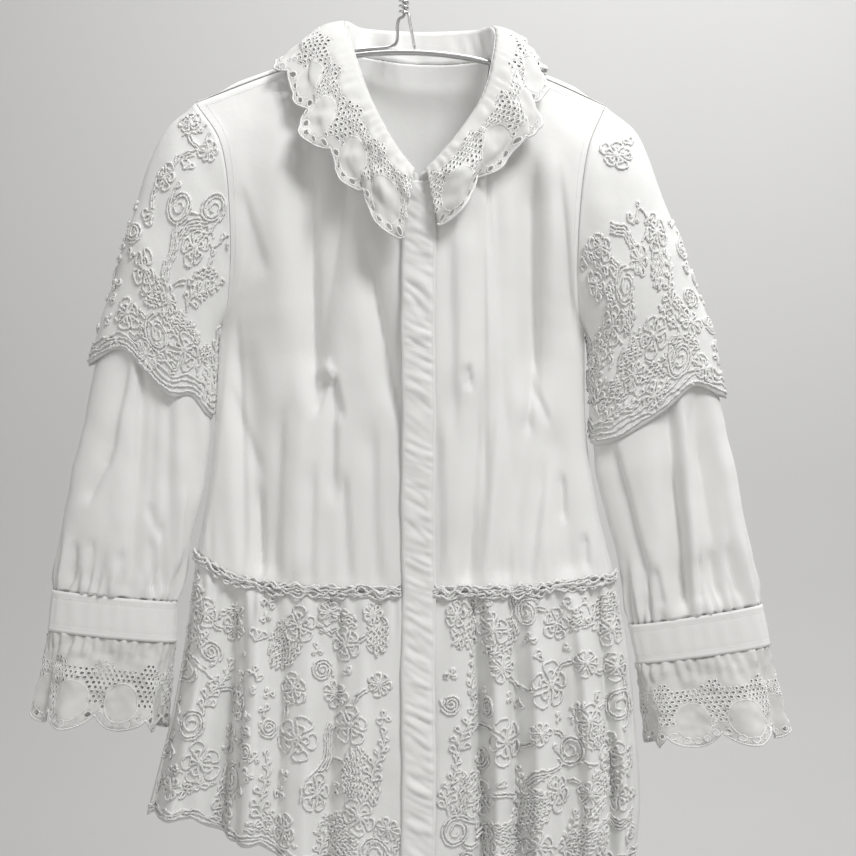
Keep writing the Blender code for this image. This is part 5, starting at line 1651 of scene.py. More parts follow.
@dataclass
class Peplum:
    """The corded peplum and the corded edge over the waist seam."""

    bodice: Bodice
    seam: float = 0.0009
    scallop_depth: float = 0.008
    front_scallops: int = 4
    back_scallops: int = 8
    fold_gain: float = 1.3
    fold_lean: float = 0.35
    centre: Rows = ((0.0, 0.0, -0.036, -0.63), (0.5, 0.0, -0.043, -0.76), (1.0, 0.0, -0.048, -0.9))
    sides: dict[Side, Rows] = field(default_factory=lambda: {
        Side.RIGHT: ((0.0, -0.1965, 0.0, -0.598), (0.4, -0.209, 0.0, -0.69),
                     (0.65, -0.2215, 0.0, -0.756), (1.0, -0.244, 0.0, -0.845)),
        Side.LEFT: ((0.0, 0.199, 0.0, -0.6175), (0.3, 0.2125, 0.0, -0.689), (0.55, 0.219, 0.0, -0.7554),
                    (0.85, 0.224, 0.0, -0.8314), (1.0, 0.2195, 0.0, -0.885))})
    hems: dict[str, Rows] = field(default_factory=lambda: {
        "right": ((0.0, -0.244, 0.0, -0.845), (0.07, -0.235, -0.018, -0.835),
                  (0.25, -0.195, -0.036, -0.839), (0.55, -0.12, -0.045, -0.865),
                  (1.0, 0.0135, -0.048, -0.9)),
        "left": ((0.0, 0.2195, 0.0, -0.885), (0.07, 0.211, -0.018, -0.883),
                 (0.25, 0.18, -0.036, -0.886), (0.55, 0.11, -0.045, -0.894),
                 (1.0, 0.0145, -0.048, -0.9)),
        "back": ((0.0, -0.244, 0.0, -0.845), (0.05, -0.234, 0.018, -0.837),
                 (0.16, -0.185, 0.034, -0.848), (0.5, 0.014, 0.044, -0.902),
                 (0.84, 0.18, 0.034, -0.888), (0.95, 0.211, 0.018, -0.884),
                 (1.0, 0.2195, 0.0, -0.885))})
    folds: dict[str, Rows] = field(default_factory=lambda: {
        "right": ((0.05, 0.07, 0.03, 0.008), (0.14, 0.16, 0.034, -0.007), (0.25, 0.36, 0.042, 0.017),
                  (0.3, 0.42, 0.018, 0.006), (0.36, 0.47, 0.04, -0.008), (0.47, 0.56, 0.038, 0.006),
                  (0.58, 0.65, 0.04, -0.005), (0.7, 0.72, 0.036, 0.0075), (0.8, 0.81, 0.034, -0.005)),
        "left": ((0.07, 0.08, 0.032, 0.007), (0.17, 0.2, 0.034, 0.013), (0.27, 0.3, 0.036, -0.008),
                 (0.38, 0.4, 0.036, 0.006), (0.49, 0.5, 0.036, -0.007), (0.58, 0.59, 0.032, 0.012),
                 (0.67, 0.67, 0.03, -0.006), (0.75, 0.73, 0.032, 0.013), (0.76, 0.76, 0.014, 0.004)),
        "back": ((0.06, 0.06, 0.022, 0.007), (0.13, 0.12, 0.024, -0.009), (0.2, 0.2, 0.024, 0.01),
                 (0.28, 0.27, 0.025, -0.008), (0.36, 0.36, 0.025, 0.011), (0.44, 0.43, 0.025, -0.009),
                 (0.52, 0.52, 0.024, 0.009), (0.6, 0.61, 0.026, -0.01), (0.69, 0.69, 0.024, 0.011),
                 (0.77, 0.78, 0.024, -0.008), (0.85, 0.86, 0.024, 0.009), (0.93, 0.94, 0.022, -0.006))})
    motifs: dict[str, tuple] = field(default_factory=lambda: {
        "right": (
            (FLOWER, -0.184, -0.649, 0.013, 5), (DAISY, -0.159, -0.664, 0.012, 0),
            (TRAIL, -0.202, -0.677, 0.014, 110), (SPIRAL, -0.207, -0.701, 0.014, 30),
            (FLOWER, -0.096, -0.658, 0.016, 20), (DAISY, -0.068, -0.649, 0.011, 0),
            (FLOWER, -0.053, -0.675, 0.015, 44), (DAISY, -0.027, -0.649, 0.01, 0),
            (LEAF, -0.137, -0.675, 0.012, 80), (SPRIG, -0.176, -0.721, 0.024, 75),
            (FLOWER, -0.152, -0.732, 0.016, 12), (SPIRAL, -0.196, -0.751, 0.013, 210),
            (FLOWER, -0.1, -0.716, 0.014, 33), (FLOWER, -0.096, -0.763, 0.02, 0),
            (DAISY, -0.063, -0.723, 0.012, 0), (FLOWER, -0.048, -0.751, 0.017, 18),
            (DAISY, -0.021, -0.714, 0.011, 0), (SPRIG, -0.025, -0.788, 0.024, 85),
            (FLOWER, -0.189, -0.79, 0.018, 40), (DAISY, -0.215, -0.814, 0.012, 0),
            (SPIRAL, -0.159, -0.805, 0.013, 100), (SPRIG, -0.129, -0.814, 0.026, 100),
            (FLOWER, -0.079, -0.812, 0.017, 10), (FLOWER, -0.042, -0.834, 0.016, 50),
            (DAISY, -0.012, -0.844, 0.011, 0), (FLOWER, -0.167, -0.833, 0.013, 25),
            (LEAF, -0.202, -0.831, 0.012, 230), (FLOWER, -0.111, -0.848, 0.015, 0),
            (SPRIG, -0.072, -0.862, 0.019, 80), (SPIRAL, -0.027, -0.871, 0.013, 20),
            (CLOUD, -0.108, -0.674, 0.026, 60), (CLOUD, -0.19, -0.66, 0.02, 100),
            (CLOUD, -0.062, -0.658, 0.018, 0), (CLOUD, -0.024, -0.67, 0.016, 90),
            (CLOUD, -0.16, -0.65, 0.012, 40), (BAND, -0.075, -0.79, 0.03, 70),
            (CLOUD, -0.04, -0.8, 0.026, 100), (CLOUD, -0.2, -0.8, 0.024, 30),
            (CLOUD, -0.165, -0.812, 0.022, 80), (CLOUD, -0.06, -0.85, 0.028, 20),
            (CLOUD, -0.12, -0.845, 0.024, 0), (CLOUD, -0.02, -0.855, 0.022, 60),
            (BAND, -0.225, -0.808, 0.018, 20)),
        "left": (
            (FLOWER, 0.049, -0.651, 0.012, 5), (DAISY, 0.071, -0.641, 0.01, 0),
            (FLOWER, 0.082, -0.665, 0.015, 30), (SPIRAL, 0.114, -0.649, 0.012, 70),
            (FLOWER, 0.142, -0.658, 0.014, 0), (TRAIL, 0.169, -0.649, 0.016, 150),
            (FLOWER, 0.194, -0.665, 0.015, 20), (SPRIG, 0.062, -0.703, 0.022, 95),
            (DAISY, 0.09, -0.701, 0.012, 0), (FLOWER, 0.134, -0.714, 0.021, 12),
            (DAISY, 0.169, -0.697, 0.012, 0), (FLOWER, 0.199, -0.701, 0.013, 40),
            (SPIRAL, 0.203, -0.736, 0.015, 320), (FLOWER, 0.171, -0.745, 0.014, 8),
            (LEAF, 0.108, -0.73, 0.01, 250), (SPRIG, 0.058, -0.76, 0.024, 80),
            (FLOWER, 0.095, -0.769, 0.021, 35), (DAISY, 0.127, -0.756, 0.01, 0),
            (SPIRAL, 0.155, -0.777, 0.013, 200), (FLOWER, 0.194, -0.779, 0.016, 15),
            (SPRIG, 0.043, -0.805, 0.022, 85), (FLOWER, 0.071, -0.823, 0.016, 0),
            (SPRIG, 0.108, -0.823, 0.024, 95), (FLOWER, 0.143, -0.814, 0.017, 50),
            (DAISY, 0.173, -0.814, 0.011, 0), (FLOWER, 0.201, -0.82, 0.015, 20),
            (SPIRAL, 0.049, -0.851, 0.013, 40), (FLOWER, 0.08, -0.862, 0.016, 10),
            (FLOWER, 0.123, -0.862, 0.015, 30), (DAISY, 0.101, -0.845, 0.009, 0),
            (SPRIG, 0.155, -0.855, 0.018, 80), (FLOWER, 0.184, -0.858, 0.013, 0),
            (CLOUD, 0.058, -0.66, 0.02, 80), (CLOUD, 0.092, -0.672, 0.02, 60),
            (CLOUD, 0.148, -0.655, 0.02, 0), (CLOUD, 0.188, -0.65, 0.02, 30),
            (BAND, 0.102, -0.655, 0.018, 70), (CLOUD, 0.172, -0.755, 0.022, 120),
            (BAND, 0.14, -0.795, 0.028, 20), (CLOUD, 0.058, -0.815, 0.022, 80),
            (CLOUD, 0.12, -0.825, 0.026, 10), (CLOUD, 0.178, -0.815, 0.022, 60),
            (CLOUD, 0.09, -0.86, 0.026, 0), (CLOUD, 0.16, -0.862, 0.024, 20),
            (CLOUD, 0.205, -0.79, 0.014, 90), (BAND, 0.2, -0.85, 0.018, 0)),
        "back": (
            (FLOWER, -0.176, -0.65, 0.015, 10), (SPIRAL, -0.135, -0.655, 0.013, 60),
            (FLOWER, -0.09, -0.665, 0.017, 30), (SPRIG, -0.045, -0.67, 0.022, 80),
            (FLOWER, 0.002, -0.668, 0.016, 5), (TRAIL, 0.05, -0.668, 0.018, 20),
            (FLOWER, 0.098, -0.672, 0.017, 40), (DAISY, 0.14, -0.665, 0.012, 0),
            (FLOWER, 0.18, -0.68, 0.015, 15), (SPRIG, -0.19, -0.712, 0.022, 95),
            (FLOWER, -0.148, -0.712, 0.018, 0), (SPIRAL, -0.108, -0.722, 0.014, 200),
            (DAISY, -0.07, -0.718, 0.012, 0), (FLOWER, -0.028, -0.73, 0.02, 25),
            (SPRIG, 0.018, -0.735, 0.024, 85), (FLOWER, 0.064, -0.728, 0.018, 12),
            (SPIRAL, 0.108, -0.732, 0.014, 320), (FLOWER, 0.148, -0.732, 0.018, 45),
            (LEAF, 0.19, -0.735, 0.013, 80), (FLOWER, -0.19, -0.77, 0.017, 20),
            (SPRIG, -0.145, -0.782, 0.026, 100), (FLOWER, -0.098, -0.785, 0.018, 5),
            (TRAIL, -0.052, -0.792, 0.018, 160), (FLOWER, -0.005, -0.795, 0.019, 35),
            (DAISY, 0.04, -0.785, 0.013, 0), (SPRIG, 0.086, -0.792, 0.026, 80),
            (FLOWER, 0.13, -0.795, 0.018, 18), (SPIRAL, 0.172, -0.79, 0.014, 110),
            (FLOWER, 0.2, -0.815, 0.014, 0), (DAISY, -0.215, -0.815, 0.011, 0),
            (FLOWER, -0.17, -0.828, 0.014, 30), (FLOWER, -0.125, -0.842, 0.015, 8),
            (SPRIG, -0.078, -0.848, 0.022, 90), (FLOWER, -0.03, -0.858, 0.018, 40),
            (SPIRAL, 0.012, -0.862, 0.013, 250), (FLOWER, 0.052, -0.856, 0.018, 22),
            (SPRIG, 0.098, -0.85, 0.022, 80), (FLOWER, 0.142, -0.852, 0.016, 0),
            (DAISY, 0.182, -0.858, 0.012, 0), (CLOUD, -0.155, -0.668, 0.022, 20),
            (CLOUD, -0.06, -0.655, 0.024, 0), (CLOUD, 0.03, -0.665, 0.022, 40),
            (CLOUD, 0.12, -0.662, 0.022, 150), (BAND, -0.118, -0.69, 0.022, 60),
            (CLOUD, -0.17, -0.745, 0.022, 70), (CLOUD, 0.085, -0.752, 0.022, 110),
            (BAND, 0.01, -0.768, 0.026, 80), (CLOUD, -0.19, -0.808, 0.024, 30),
            (CLOUD, -0.12, -0.815, 0.026, 60), (CLOUD, -0.05, -0.83, 0.028, 0),
            (CLOUD, 0.02, -0.835, 0.028, 140), (CLOUD, 0.095, -0.828, 0.026, 20),
            (CLOUD, 0.165, -0.825, 0.024, 80), (CLOUD, -0.09, -0.868, 0.024, 0),
            (CLOUD, 0.06, -0.88, 0.026, 0), (CLOUD, 0.14, -0.872, 0.022, 0))})

    def below(self, place: Vector) -> Vector:
        """A waist point moved down to the peplum's own edge."""
        return place - Vector((0, 0, self.seam))

    def surface(self, name: str, base: Surface, outward: float, scallops: int) -> Surface:
        """Hang a panel in folds.

        Args:
            name: the panel's key in the tables.
            base: its smooth form.
            outward: -1 for a front, 1 for the back.
            scallops: scallops of its hem.

        Returns:
            The surface, v from hem to waist.
        """
        def point(u: float, v: float) -> Vector:
            """A point with its folds and creases."""
            place = base(u, v)
            plain = place.copy()
            drop = 1 - v
            ends = ease(u / 0.06) * ease((1 - u) / 0.08)
            depth = 0.0
            for waist, low, width, fold in self.folds[name]:
                at = waist + (low - waist) * drop
                reach = width * (1 - math.copysign(self.fold_lean, u - at))
                depth += self.fold_gain * fold * hump(u - at, reach)
            place.y -= outward * depth * ends * (0.4 * ease(drop / 0.07) + 0.6 * ease(drop * 1.6))
            near = u if outward < 0 else min(u, 1 - u)
            place.y += outward * 0.8 * 0.0009 * (1 - ease(near / 0.05))
            place.z -= (self.scallop_depth * abs(math.sin(math.pi * scallops * u))
                        * ease((drop - 0.7) / 0.3))
            gathers = math.sin(plain.x * 430 + 2.3 * math.sin(plain.x * 97))
            fine = 0.0016 * gathers * hump(drop - 0.07, 0.09)
            fine += rumple(plain, 0.032, 0.0024) * ease(drop / 0.1)
            fine += rumple(plain, 0.014, 0.0008)
            place.y -= outward * fine * ends * ease(drop / 0.03)
            return place
        return point

    def front(self, side: Side) -> Surface:
        """Surface of one front of the peplum."""
        base = coons(lambda u: edge_point(self.hems[side.value], u),
                     lambda u: self.below(waist_front(side)(u)),
                     lambda v: edge_point(self.sides[side], 1 - v),
                     lambda v: self.bodice.centre_line(self.centre, side, 1 - v))
        return self.surface(side.value, base, -1.0, self.front_scallops)

    def back(self) -> Surface:
        """Surface of the peplum's back."""
        base = coons(lambda u: edge_point(self.hems["back"], u),
                     lambda u: self.below(waist_round(u)),
                     lambda v: edge_point(self.sides[Side.RIGHT], 1 - v),
                     lambda v: edge_point(self.sides[Side.LEFT], 1 - v))
        return self.surface("back", base, 1.0, self.back_scallops)

    def waist_cords(self, waist: Edge, start: float, end: float, waves: int,
                    outward: float) -> Rope:
        """The corded edge over the waist seam, of six cords that wander over it.

        Args:
            waist: the seam.
            start: first station.
            end: last station.
            waves: how many waves the main cord makes.
            outward: -1 for a front, 1 for the back.

        Returns:
            The cords.
        """
        rope = Rope(crinkle=0.0007)
        cords = ((0.0, 0.0012, 0.0006), (7.3, 0.0030, 0.0), (15.1, -0.0008, 0.0002),
                 (23.9, -0.0028, -0.0002), (31.7, -0.0046, -0.0004), (43.1, 0.0044, -0.0004))
        for seed, height, off in cords:
            points = []
            for step in range(361):
                u = start + (end - start) * step / 360
                ahead = waist(min(1.0, u + 0.01)) - waist(max(0.0, u - 0.01))
                normal = Vector((ahead.y, -ahead.x, 0.0)).normalized()
                if normal.y * outward < 0:
                    normal.negate()
                lift = height + 0.0058 * noise.noise(Vector((u * waves * 3.9, seed, 0.0)))
                out = off + 0.0026 * noise.noise(Vector((u * waves * 4.3, seed, 5.0)))
                points.append(waist(u) + normal * (0.0036 + out)
                              + Vector((0, 0, lift - self.seam / 2)))
            rope.lay(points)
        return rope

    def build(self, wardrobe: Wardrobe) -> None:
        """Make the three panels, their cords and the waist edge."""
        for side in Side:
            name = side.value
            panel = Panel("peplum_cloth_" + name, self.front(side), dense_start(108, 1.15),
                          even(50), Vector((0, -1, 0)))
            item = dress(panel.build(), wardrobe.voile, ["peplum_front_" + name])
            work = Embroidery(panel)
            for row in range(3):
                work.border(0.015 + 0.0125 * row, 7 + 4 * row, 0.002 + 0.0012 * row, phase=row)
            work.place(self.motifs[name])
            work.fill(420, 0.0068, 0.03, 0.90, 0.08, 0.94, seed=0.13 + side.sign * 0.1)
            cords = work.build("peplum_cords_" + name, wardrobe.cord)
            rope = self.waist_cords(waist_front(side), 0.02, 0.935, 7, -1.0)
            dress(rope.build("waist_cords_" + name), wardrobe.cord,
                  ["waist_edge_" + name])
        panel = Panel("peplum_cloth_back", self.back(), dense_ends(150, 0.25), even(44),
                      Vector((0, 1, 0)))
        item = dress(panel.build(), wardrobe.voile, ["peplum_back"])
        work = Embroidery(panel)
        for row in range(3):
            work.border(0.015 + 0.0125 * row, 14 + 8 * row, 0.002 + 0.0012 * row, phase=row)
        work.place(self.motifs["back"])
        work.fill(380, 0.0072, 0.02, 0.98, 0.08, 0.94, seed=0.57)
        cords = work.build("peplum_cords_back", wardrobe.cord)
        rope = self.waist_cords(waist_round, 0.035, 0.965, 13, 1.0)
        dress(rope.build("waist_cords_back"), wardrobe.cord, ["waist_edge_back"])


@dataclass
class ButtonBand:
    """The concealed, puckered button band over the fronts and the peplum."""

    bodice: Bodice
    peplum: Peplum
    width: float = 0.031
    top: float = -0.2535
    hem: float = -0.900
    stand_off: float = 0.0033
    pucker: float = 0.0008

    def surface(self, u: float, v: float) -> Vector:
        """Surface of the band, puckered between its two rows of stitches."""
        z = self.hem + (self.top - self.hem) * v
        rows = [(row[3], row[2]) for row in reversed(self.peplum.centre[1:])]
        rows += [(row[3], row[2]) for row in self.bodice.centre_front]
        middle = 1 - abs(2 * u - 1)
        phase = z * 331 + 1.3 * math.sin(z * 47)
        depth = 0.6 * self.pucker * middle * math.sin(phase)
        inner = ease((u - 0.07) / 0.10) * ease((0.95 - u) / 0.08)
        down = z + 0.013 * u + 0.004 * math.sin(z * 61)
        wrinkle = noise.noise(Vector((u * 0.9, 3.0, down * 105)))
        swell = 0.6 + 1.3 * abs(noise.noise(Vector((5.0, 3.0, z * 19))))
        depth += 0.0042 * swell * (abs(wrinkle) - 0.16) * inner
        wrinkle = noise.noise(Vector((u * 1.6, 9.0, (down + 0.008 * u) * 230)))
        depth += 0.0014 * wrinkle * inner
        grooves = hump(u - 0.09, 0.035) + hump(u - 0.93, 0.03)
        depth -= 0.0007 * grooves
        depth -= 0.0015 * (hump(u, 0.035) + hump(1 - u, 0.035))
        depth += 0.0007 * hump(u - 0.99, 0.04)
        wander = 0.0005 * math.sin(z * 39 + 1.1) + 0.0003 * math.sin(z * 118)
        x = self.bodice.centre_x + (u - 0.5) * self.width + wander
        return Vector((x, along(tuple(rows), z)[0] - self.stand_off - depth, z))

    def build(self, wardrobe: Wardrobe) -> None:
        """Make the band and its two rows of stitches."""
        panel = Panel("button_band", self.surface, even(14), even(330), Vector((0, -1, 0)),
                      wall=0.0015)
        item = dress(panel.build(), wardrobe.cotton, ["placket"])
        thread = thread_rope()
        sew(thread, panel, [(0.09, 0.996 - 0.992 * t / 12) for t in range(13)])
        sew(thread, panel, [(0.93, 0.996 - 0.992 * t / 12) for t in range(13)])
        seam = dress(thread.build("button_band_stitching"), wardrobe.thread)


@dataclass
class Lace:
    """A strip of scalloped eyelet lace, cut flat and then laid on its form."""

    pitch = 0.0440
    frill_width = 0.0850
    name: str
    scallops: int
    width: float
    surface: Surface
    closed: bool = False
    dip: float = 0.0125
    eyelet: float = 0.0024
    small_eyelet: float = 0.00138
    large_limit: float = 0.002
    spacing: float = 0.0047
    oval: Flat = (0.0158, 0.0190)
    oval_centre: float = 0.0235
    peak: float = 0.0640
    saddle: float = 0.0520
    eyelets: int = 5
    inset: float = 0.0052
    grid: float = 0.0028
    rim: float = 0.0008
    oval_steps: int = 28
    edge_steps: int = 30

    def edge(self, share: float) -> float:
        """Width of the lace at a share of one scallop."""
        return self.width - self.dip * (1.0 - math.sin(math.pi * (share % 1.0)) ** 0.75)

    def holes(self) -> list[tuple[Vector, float]]:
        """Centres and radii of one scallop's eyelets."""
        found = []
        for number in range(self.eyelets):
            share = (number + 0.5) / self.eyelets
            share += 0.04 * (0.5 - share)
            found.append((Vector((share * self.pitch, self.edge(share) - self.inset)),
                          self.eyelet))
        columns = round(self.pitch / self.spacing)
        for row in range(16):
            down = self.width - self.peak + row * self.spacing * 0.866
            for column in range(columns):
                across = (column + (0.25 if row % 2 else 0.75)) / columns
                off = across - 0.5
                top = self.peak + (self.saddle - self.peak) * math.cos(math.pi * off) ** 0.8
                inside = ((off * self.pitch / self.oval[0]) ** 2
                          + ((down - self.width + self.oval_centre) / self.oval[1]) ** 2)
                low = self.edge(across) - self.inset - self.eyelet - 0.0040
                if inside > 1 and self.width - top < down < low and down < self.width - 0.019:
                    found.append((Vector((across * self.pitch, down)), self.small_eyelet))
        return found

    def tile(self, holes: list[tuple[Vector, float]]) -> tuple[list[Vector], list[list[int]]]:
        """Cut one scallop with its eyelets.

        Args:
            holes: the eyelets' centres and radii.

        Returns:
            Flat points, and faces between them.
        """
        steps, rises = 18, round((self.width - self.dip) / self.grid)
        outline = [Vector((0.0, (self.width - self.dip) * n / rises)) for n in range(rises)]
        outline += [Vector((n / steps * self.pitch, self.edge(n / steps if n < steps else 0.0)))
                    for n in range(steps + 1)]
        outline += [Vector((self.pitch, (self.width - self.dip) * n / rises))
                    for n in range(rises - 1, -1, -1)]
        outline += [Vector((self.pitch * n / 16, 0.0)) for n in range(15, 0, -1)]
        points = list(outline)
        edges = [(index, (index + 1) % len(outline)) for index in range(len(outline))]
        for centre, radius in holes:
            first, sides = len(points), 10 if radius > self.large_limit else 7
            for number in range(sides):
                angle = math.tau * (number + 0.5) / sides
                points.append(centre + radius * Vector((math.cos(angle), math.sin(angle))))
                edges.append((first + number, first + (number + 1) % sides))
        rows = int(self.width / self.grid)
        for row in range(1, rows):
            shift = 0.5 if row % 2 else 0.0
            for column in range(1, 16):
                spot = Vector(((column + shift) * self.pitch / 16, row * self.grid))
                if spot.x > self.pitch * 15.4 / 16:
                    continue
                if spot.y > self.edge(spot.x / self.pitch) - 0.0011:
                    continue
                if all((spot - centre).length > radius + 0.0009 for centre, radius in holes):
                    points.append(spot)
        flat, _, faces, _, _, _ = delaunay_2d_cdt(points, edges, [], 1, 1e-7)
        kept = []
        for face in faces:
            middle = sum((flat[index] for index in face), Vector((0.0, 0.0))) / len(face)
            if all((middle - centre).length > radius * 0.85 for centre, radius in holes):
                kept.append(list(face))
        return flat, kept

    def cloth(self, flat: list[Vector], faces: list[list[int]]) -> bpy.types.Object:
        """Lay the scallops on their form side by side and join them."""
        bm = bmesh.new()
        layout = bm.loops.layers.uv.new("Flat")
        for number in range(self.scallops):
            start = number * self.pitch
            verts = [bm.verts.new(self.surface(start + place.x, place.y)) for place in flat]
            for face in faces:
                made = bm.faces.new([verts[index] for index in face])
                for loop, index in zip(made.loops, face):
                    loop[layout].uv = (start + flat[index].x, flat[index].y)
        spare = [vert for vert in bm.verts if not vert.link_faces]
        bmesh.ops.delete(bm, geom=spare, context="VERTS")
        bmesh.ops.remove_doubles(bm, verts=bm.verts, dist=2e-6)
        item = link_mesh(self.name, bm)
        give_wall(item, 0.0006)
        return item

    def build(self, wardrobe: Wardrobe, replaced: list[str], rests_on: list[str]) -> None:
        """Make the lace, its bound edge and the stitched eyelet rings.

        Args:
            wardrobe: the finishes.
            replaced: the CAD nodes that the lace stands for.
            rests_on: what the lace lies on; not used.
        """
        holes = self.holes()
        flat, faces = self.tile(holes)
        item = dress(self.cloth(flat, faces), wardrobe.lace, replaced)
        rings = Rope(radius=self.rim, sides=3, turn=0.0)
        turns = [math.tau * n / self.oval_steps for n in range(self.oval_steps)]
        oval = [Vector((self.pitch / 2 + 0.95 * self.oval[0] * math.cos(turn),
                        self.width - self.oval_centre + 0.90 * self.oval[1] * math.sin(turn)))
                for turn in turns]
        for number in range(self.scallops):
            path = [self.surface(number * self.pitch + spot.x, spot.y) for spot in oval]
            rings.paths.append((path, True))
            for centre, radius in holes:
                reach, sides = radius + 0.6 * self.rim, 9 if radius > self.large_limit else 6
                ring = [self.surface(number * self.pitch + centre.x
                                     + reach * math.cos(math.tau * n / sides),
                                     centre.y + reach * math.sin(math.tau * n / sides))
                        for n in range(sides)]
                rings.paths.append((ring, True))
        stitched = dress(rings.build(self.name + "_rings"), wardrobe.cord)
        bound = Rope(radius=0.00120, step=0.0013)
        path = [self.surface(n / self.edge_steps * self.pitch, self.edge(n / self.edge_steps))
                for n in range(self.scallops * self.edge_steps + 1)]
        bound.lay(path[:-1] if self.closed else path, self.closed)
        edging = dress(bound.build(self.name + "_edging"), wardrobe.cord)
        self.scallops * self.pitch
        self.scallops * self.pitch * (self.width - 0.006)


@dataclass
class Collar:
    """The stand and the turned-down lace.

    Each row: station from the wearer's right front end round the back, then x, y, z of the
    roll line and of the scallops' line.
    """

    centre_x: float = 0.014
    rows: Rows = ((0.0, 0.0115, -0.06, -0.244, 0.0, -0.067, -0.319),
                  (0.05, -0.006, -0.056, -0.221, -0.033, -0.065, -0.279),
                  (0.128, -0.03, -0.045, -0.174, -0.074, -0.06, -0.227),
                  (0.209, -0.047, -0.026, -0.124, -0.104, -0.044, -0.173),
                  (0.281, -0.056, 0.0, -0.0925, -0.108, -0.008, -0.131),
                  (0.385, -0.039, 0.032, -0.0895, -0.078, 0.047, -0.152),
                  (0.51, 0.014, 0.045, -0.089, 0.014, 0.052, -0.164),
                  (0.644, 0.066, 0.032, -0.091, 0.104, 0.047, -0.156),
                  (0.745, 0.085, 0.0, -0.098, 0.127, -0.008, -0.139),
                  (0.818, 0.083, -0.026, -0.132, 0.127, -0.044, -0.183),
                  (0.9, 0.07, -0.045, -0.178, 0.099, -0.06, -0.234),
                  (0.951, 0.043, -0.056, -0.218, 0.064, -0.065, -0.265),
                  (1.0, 0.0195, -0.06, -0.244, 0.033, -0.067, -0.305))
    right_row: int = 4
    left_row: int = 8
    scallops: int = 17
    width: float = 0.0760
    stand_gap: float = 0.0013
    stand_end: float = 0.02
    lift: float = 0.0075
    ruffle: float = 0.0066
    fold_gain: float = 2.1
    stand_off: float = 0.0022
    folds: Rows = ((0.075, 0.012, 0.003), (0.17, 0.01, -0.003), (0.235, 0.012, 0.0035),
                   (0.33, 0.01, -0.0028), (0.43, 0.012, 0.003), (0.56, 0.011, -0.003),
                   (0.69, 0.012, 0.0032), (0.775, 0.012, 0.004), (0.815, 0.009, -0.0044),
                   (0.87, 0.011, 0.0046), (0.925, 0.009, -0.0036))

    def neck_edge(self, station: float) -> Vector:
        """The neck seam from the right front end round the back to the left front end."""
        if station < 0.3:
            return edge_point(RIGHT.neck_front, 1 - station / 0.3)
        if station <= 0.5:
            return edge_point(RIGHT.neck_back, (station - 0.3) / 0.2)
        if station <= 0.7:
            return edge_point(LEFT.neck_back, (0.7 - station) / 0.2)
        return edge_point(LEFT.neck_front, (station - 0.7) / 0.3)

    def roll_line(self, station: float) -> Vector:
        """The stand's top edge, at stations of the neck seam."""
        right, left = self.rows[self.right_row][0], self.rows[self.left_row][0]
        if station < 0.3:
            at = station / 0.3 * right
        elif station <= 0.7:
            at = right + (station - 0.3) / 0.4 * (left - right)
        else:
            at = left + (station - 0.7) / 0.3 * (1 - left)
        return Vector(along(self.rows, at)[:3])

    def stand(self, u: float, v: float) -> Vector:
        """Surface of the collar stand, from just inside the neck seam to the roll line."""
        station = self.stand_end + (1 - 2 * self.stand_end) * u
        seam = self.neck_edge(station)
        run = (self.neck_edge(station + 0.01) - self.neck_edge(station - 0.01)).normalized()
        inward = Vector((self.centre_x, seam.y, seam.z + 0.045)) - seam
        inward -= run * inward.dot(run)
        foot = seam + inward.normalized() * self.stand_gap
        place = foot.lerp(self.roll_line(station), v)
        puff = 0.0013 * math.sin(150 * u + 2 * math.sin(31 * u) + 2.5 * v) * math.sin(math.pi * v)
        return place + inward.normalized() * puff

    def fall(self, run: float, down: float) -> Vector:
        """Surface of the turned-down lace from its flat pattern."""
        station = run / (self.scallops * Lace.pitch)
        values = along(self.rows, station)
        roll, edge = Vector(values[:3]), Vector(values[3:])
        outward = Vector((roll.x - self.centre_x, roll.y + 0.005, 0.0)).normalized()
        share = down / self.width
        bulge = self.lift * math.sin(math.pi * min(1.0, share * 1.1) ** 0.7)
        wave = self.ruffle * share * math.sin(math.pi * station * self.scallops)
        flat = Vector((run, down, 0.0))
        wave += 0.0060 * ease(share * 2) * noise.noise(flat * 48)
        wave += 0.0026 * ease(share * 4) * noise.noise(flat * 115)
        gather = math.sin(run * 560 + 3 * math.sin(run * 95)) * hump(share - 0.16, 0.16)
        wave += 0.0011 * gather
        for at, width, depth in self.folds:
            crease = hump(station - at - 0.012 * share, width)
            wave += self.fold_gain * depth * share ** 1.2 * crease
        away = outward * (self.stand_off * ease(share / 0.25) + 0.0007 + 0.6 * bulge + wave)
        return roll.lerp(edge, share) + away + Vector((0, 0, 0.8 * bulge))

    def build(self, wardrobe: Wardrobe) -> None:
        """Make the stand and the lace."""
        panel = Panel("collar_band", self.stand, even(120), even(8), wall=0.0008)
        item = dress(panel.build(), wardrobe.cotton, ["collar_stand"])
        thread = thread_rope()
        sew(thread, panel, [(0.01, 0.10), (0.5, 0.10), (0.99, 0.10)])
        seam = dress(thread.build("collar_stitching"), wardrobe.thread)
        strip = Lace("collar_lace", self.scallops, self.width, self.fall)
        strip.build(wardrobe, ["collar_lace_right", "collar_lace_back", "collar_lace_left"],
                    ["front_cloth_right", "back_cloth", "front_cloth_left"])


def in_plane(rows: Rows) -> list[Vector]:
    """Points of a table of x and z, in the hanger's own plane."""
    return [Vector((x, 0.0, z)) for x, z in rows]


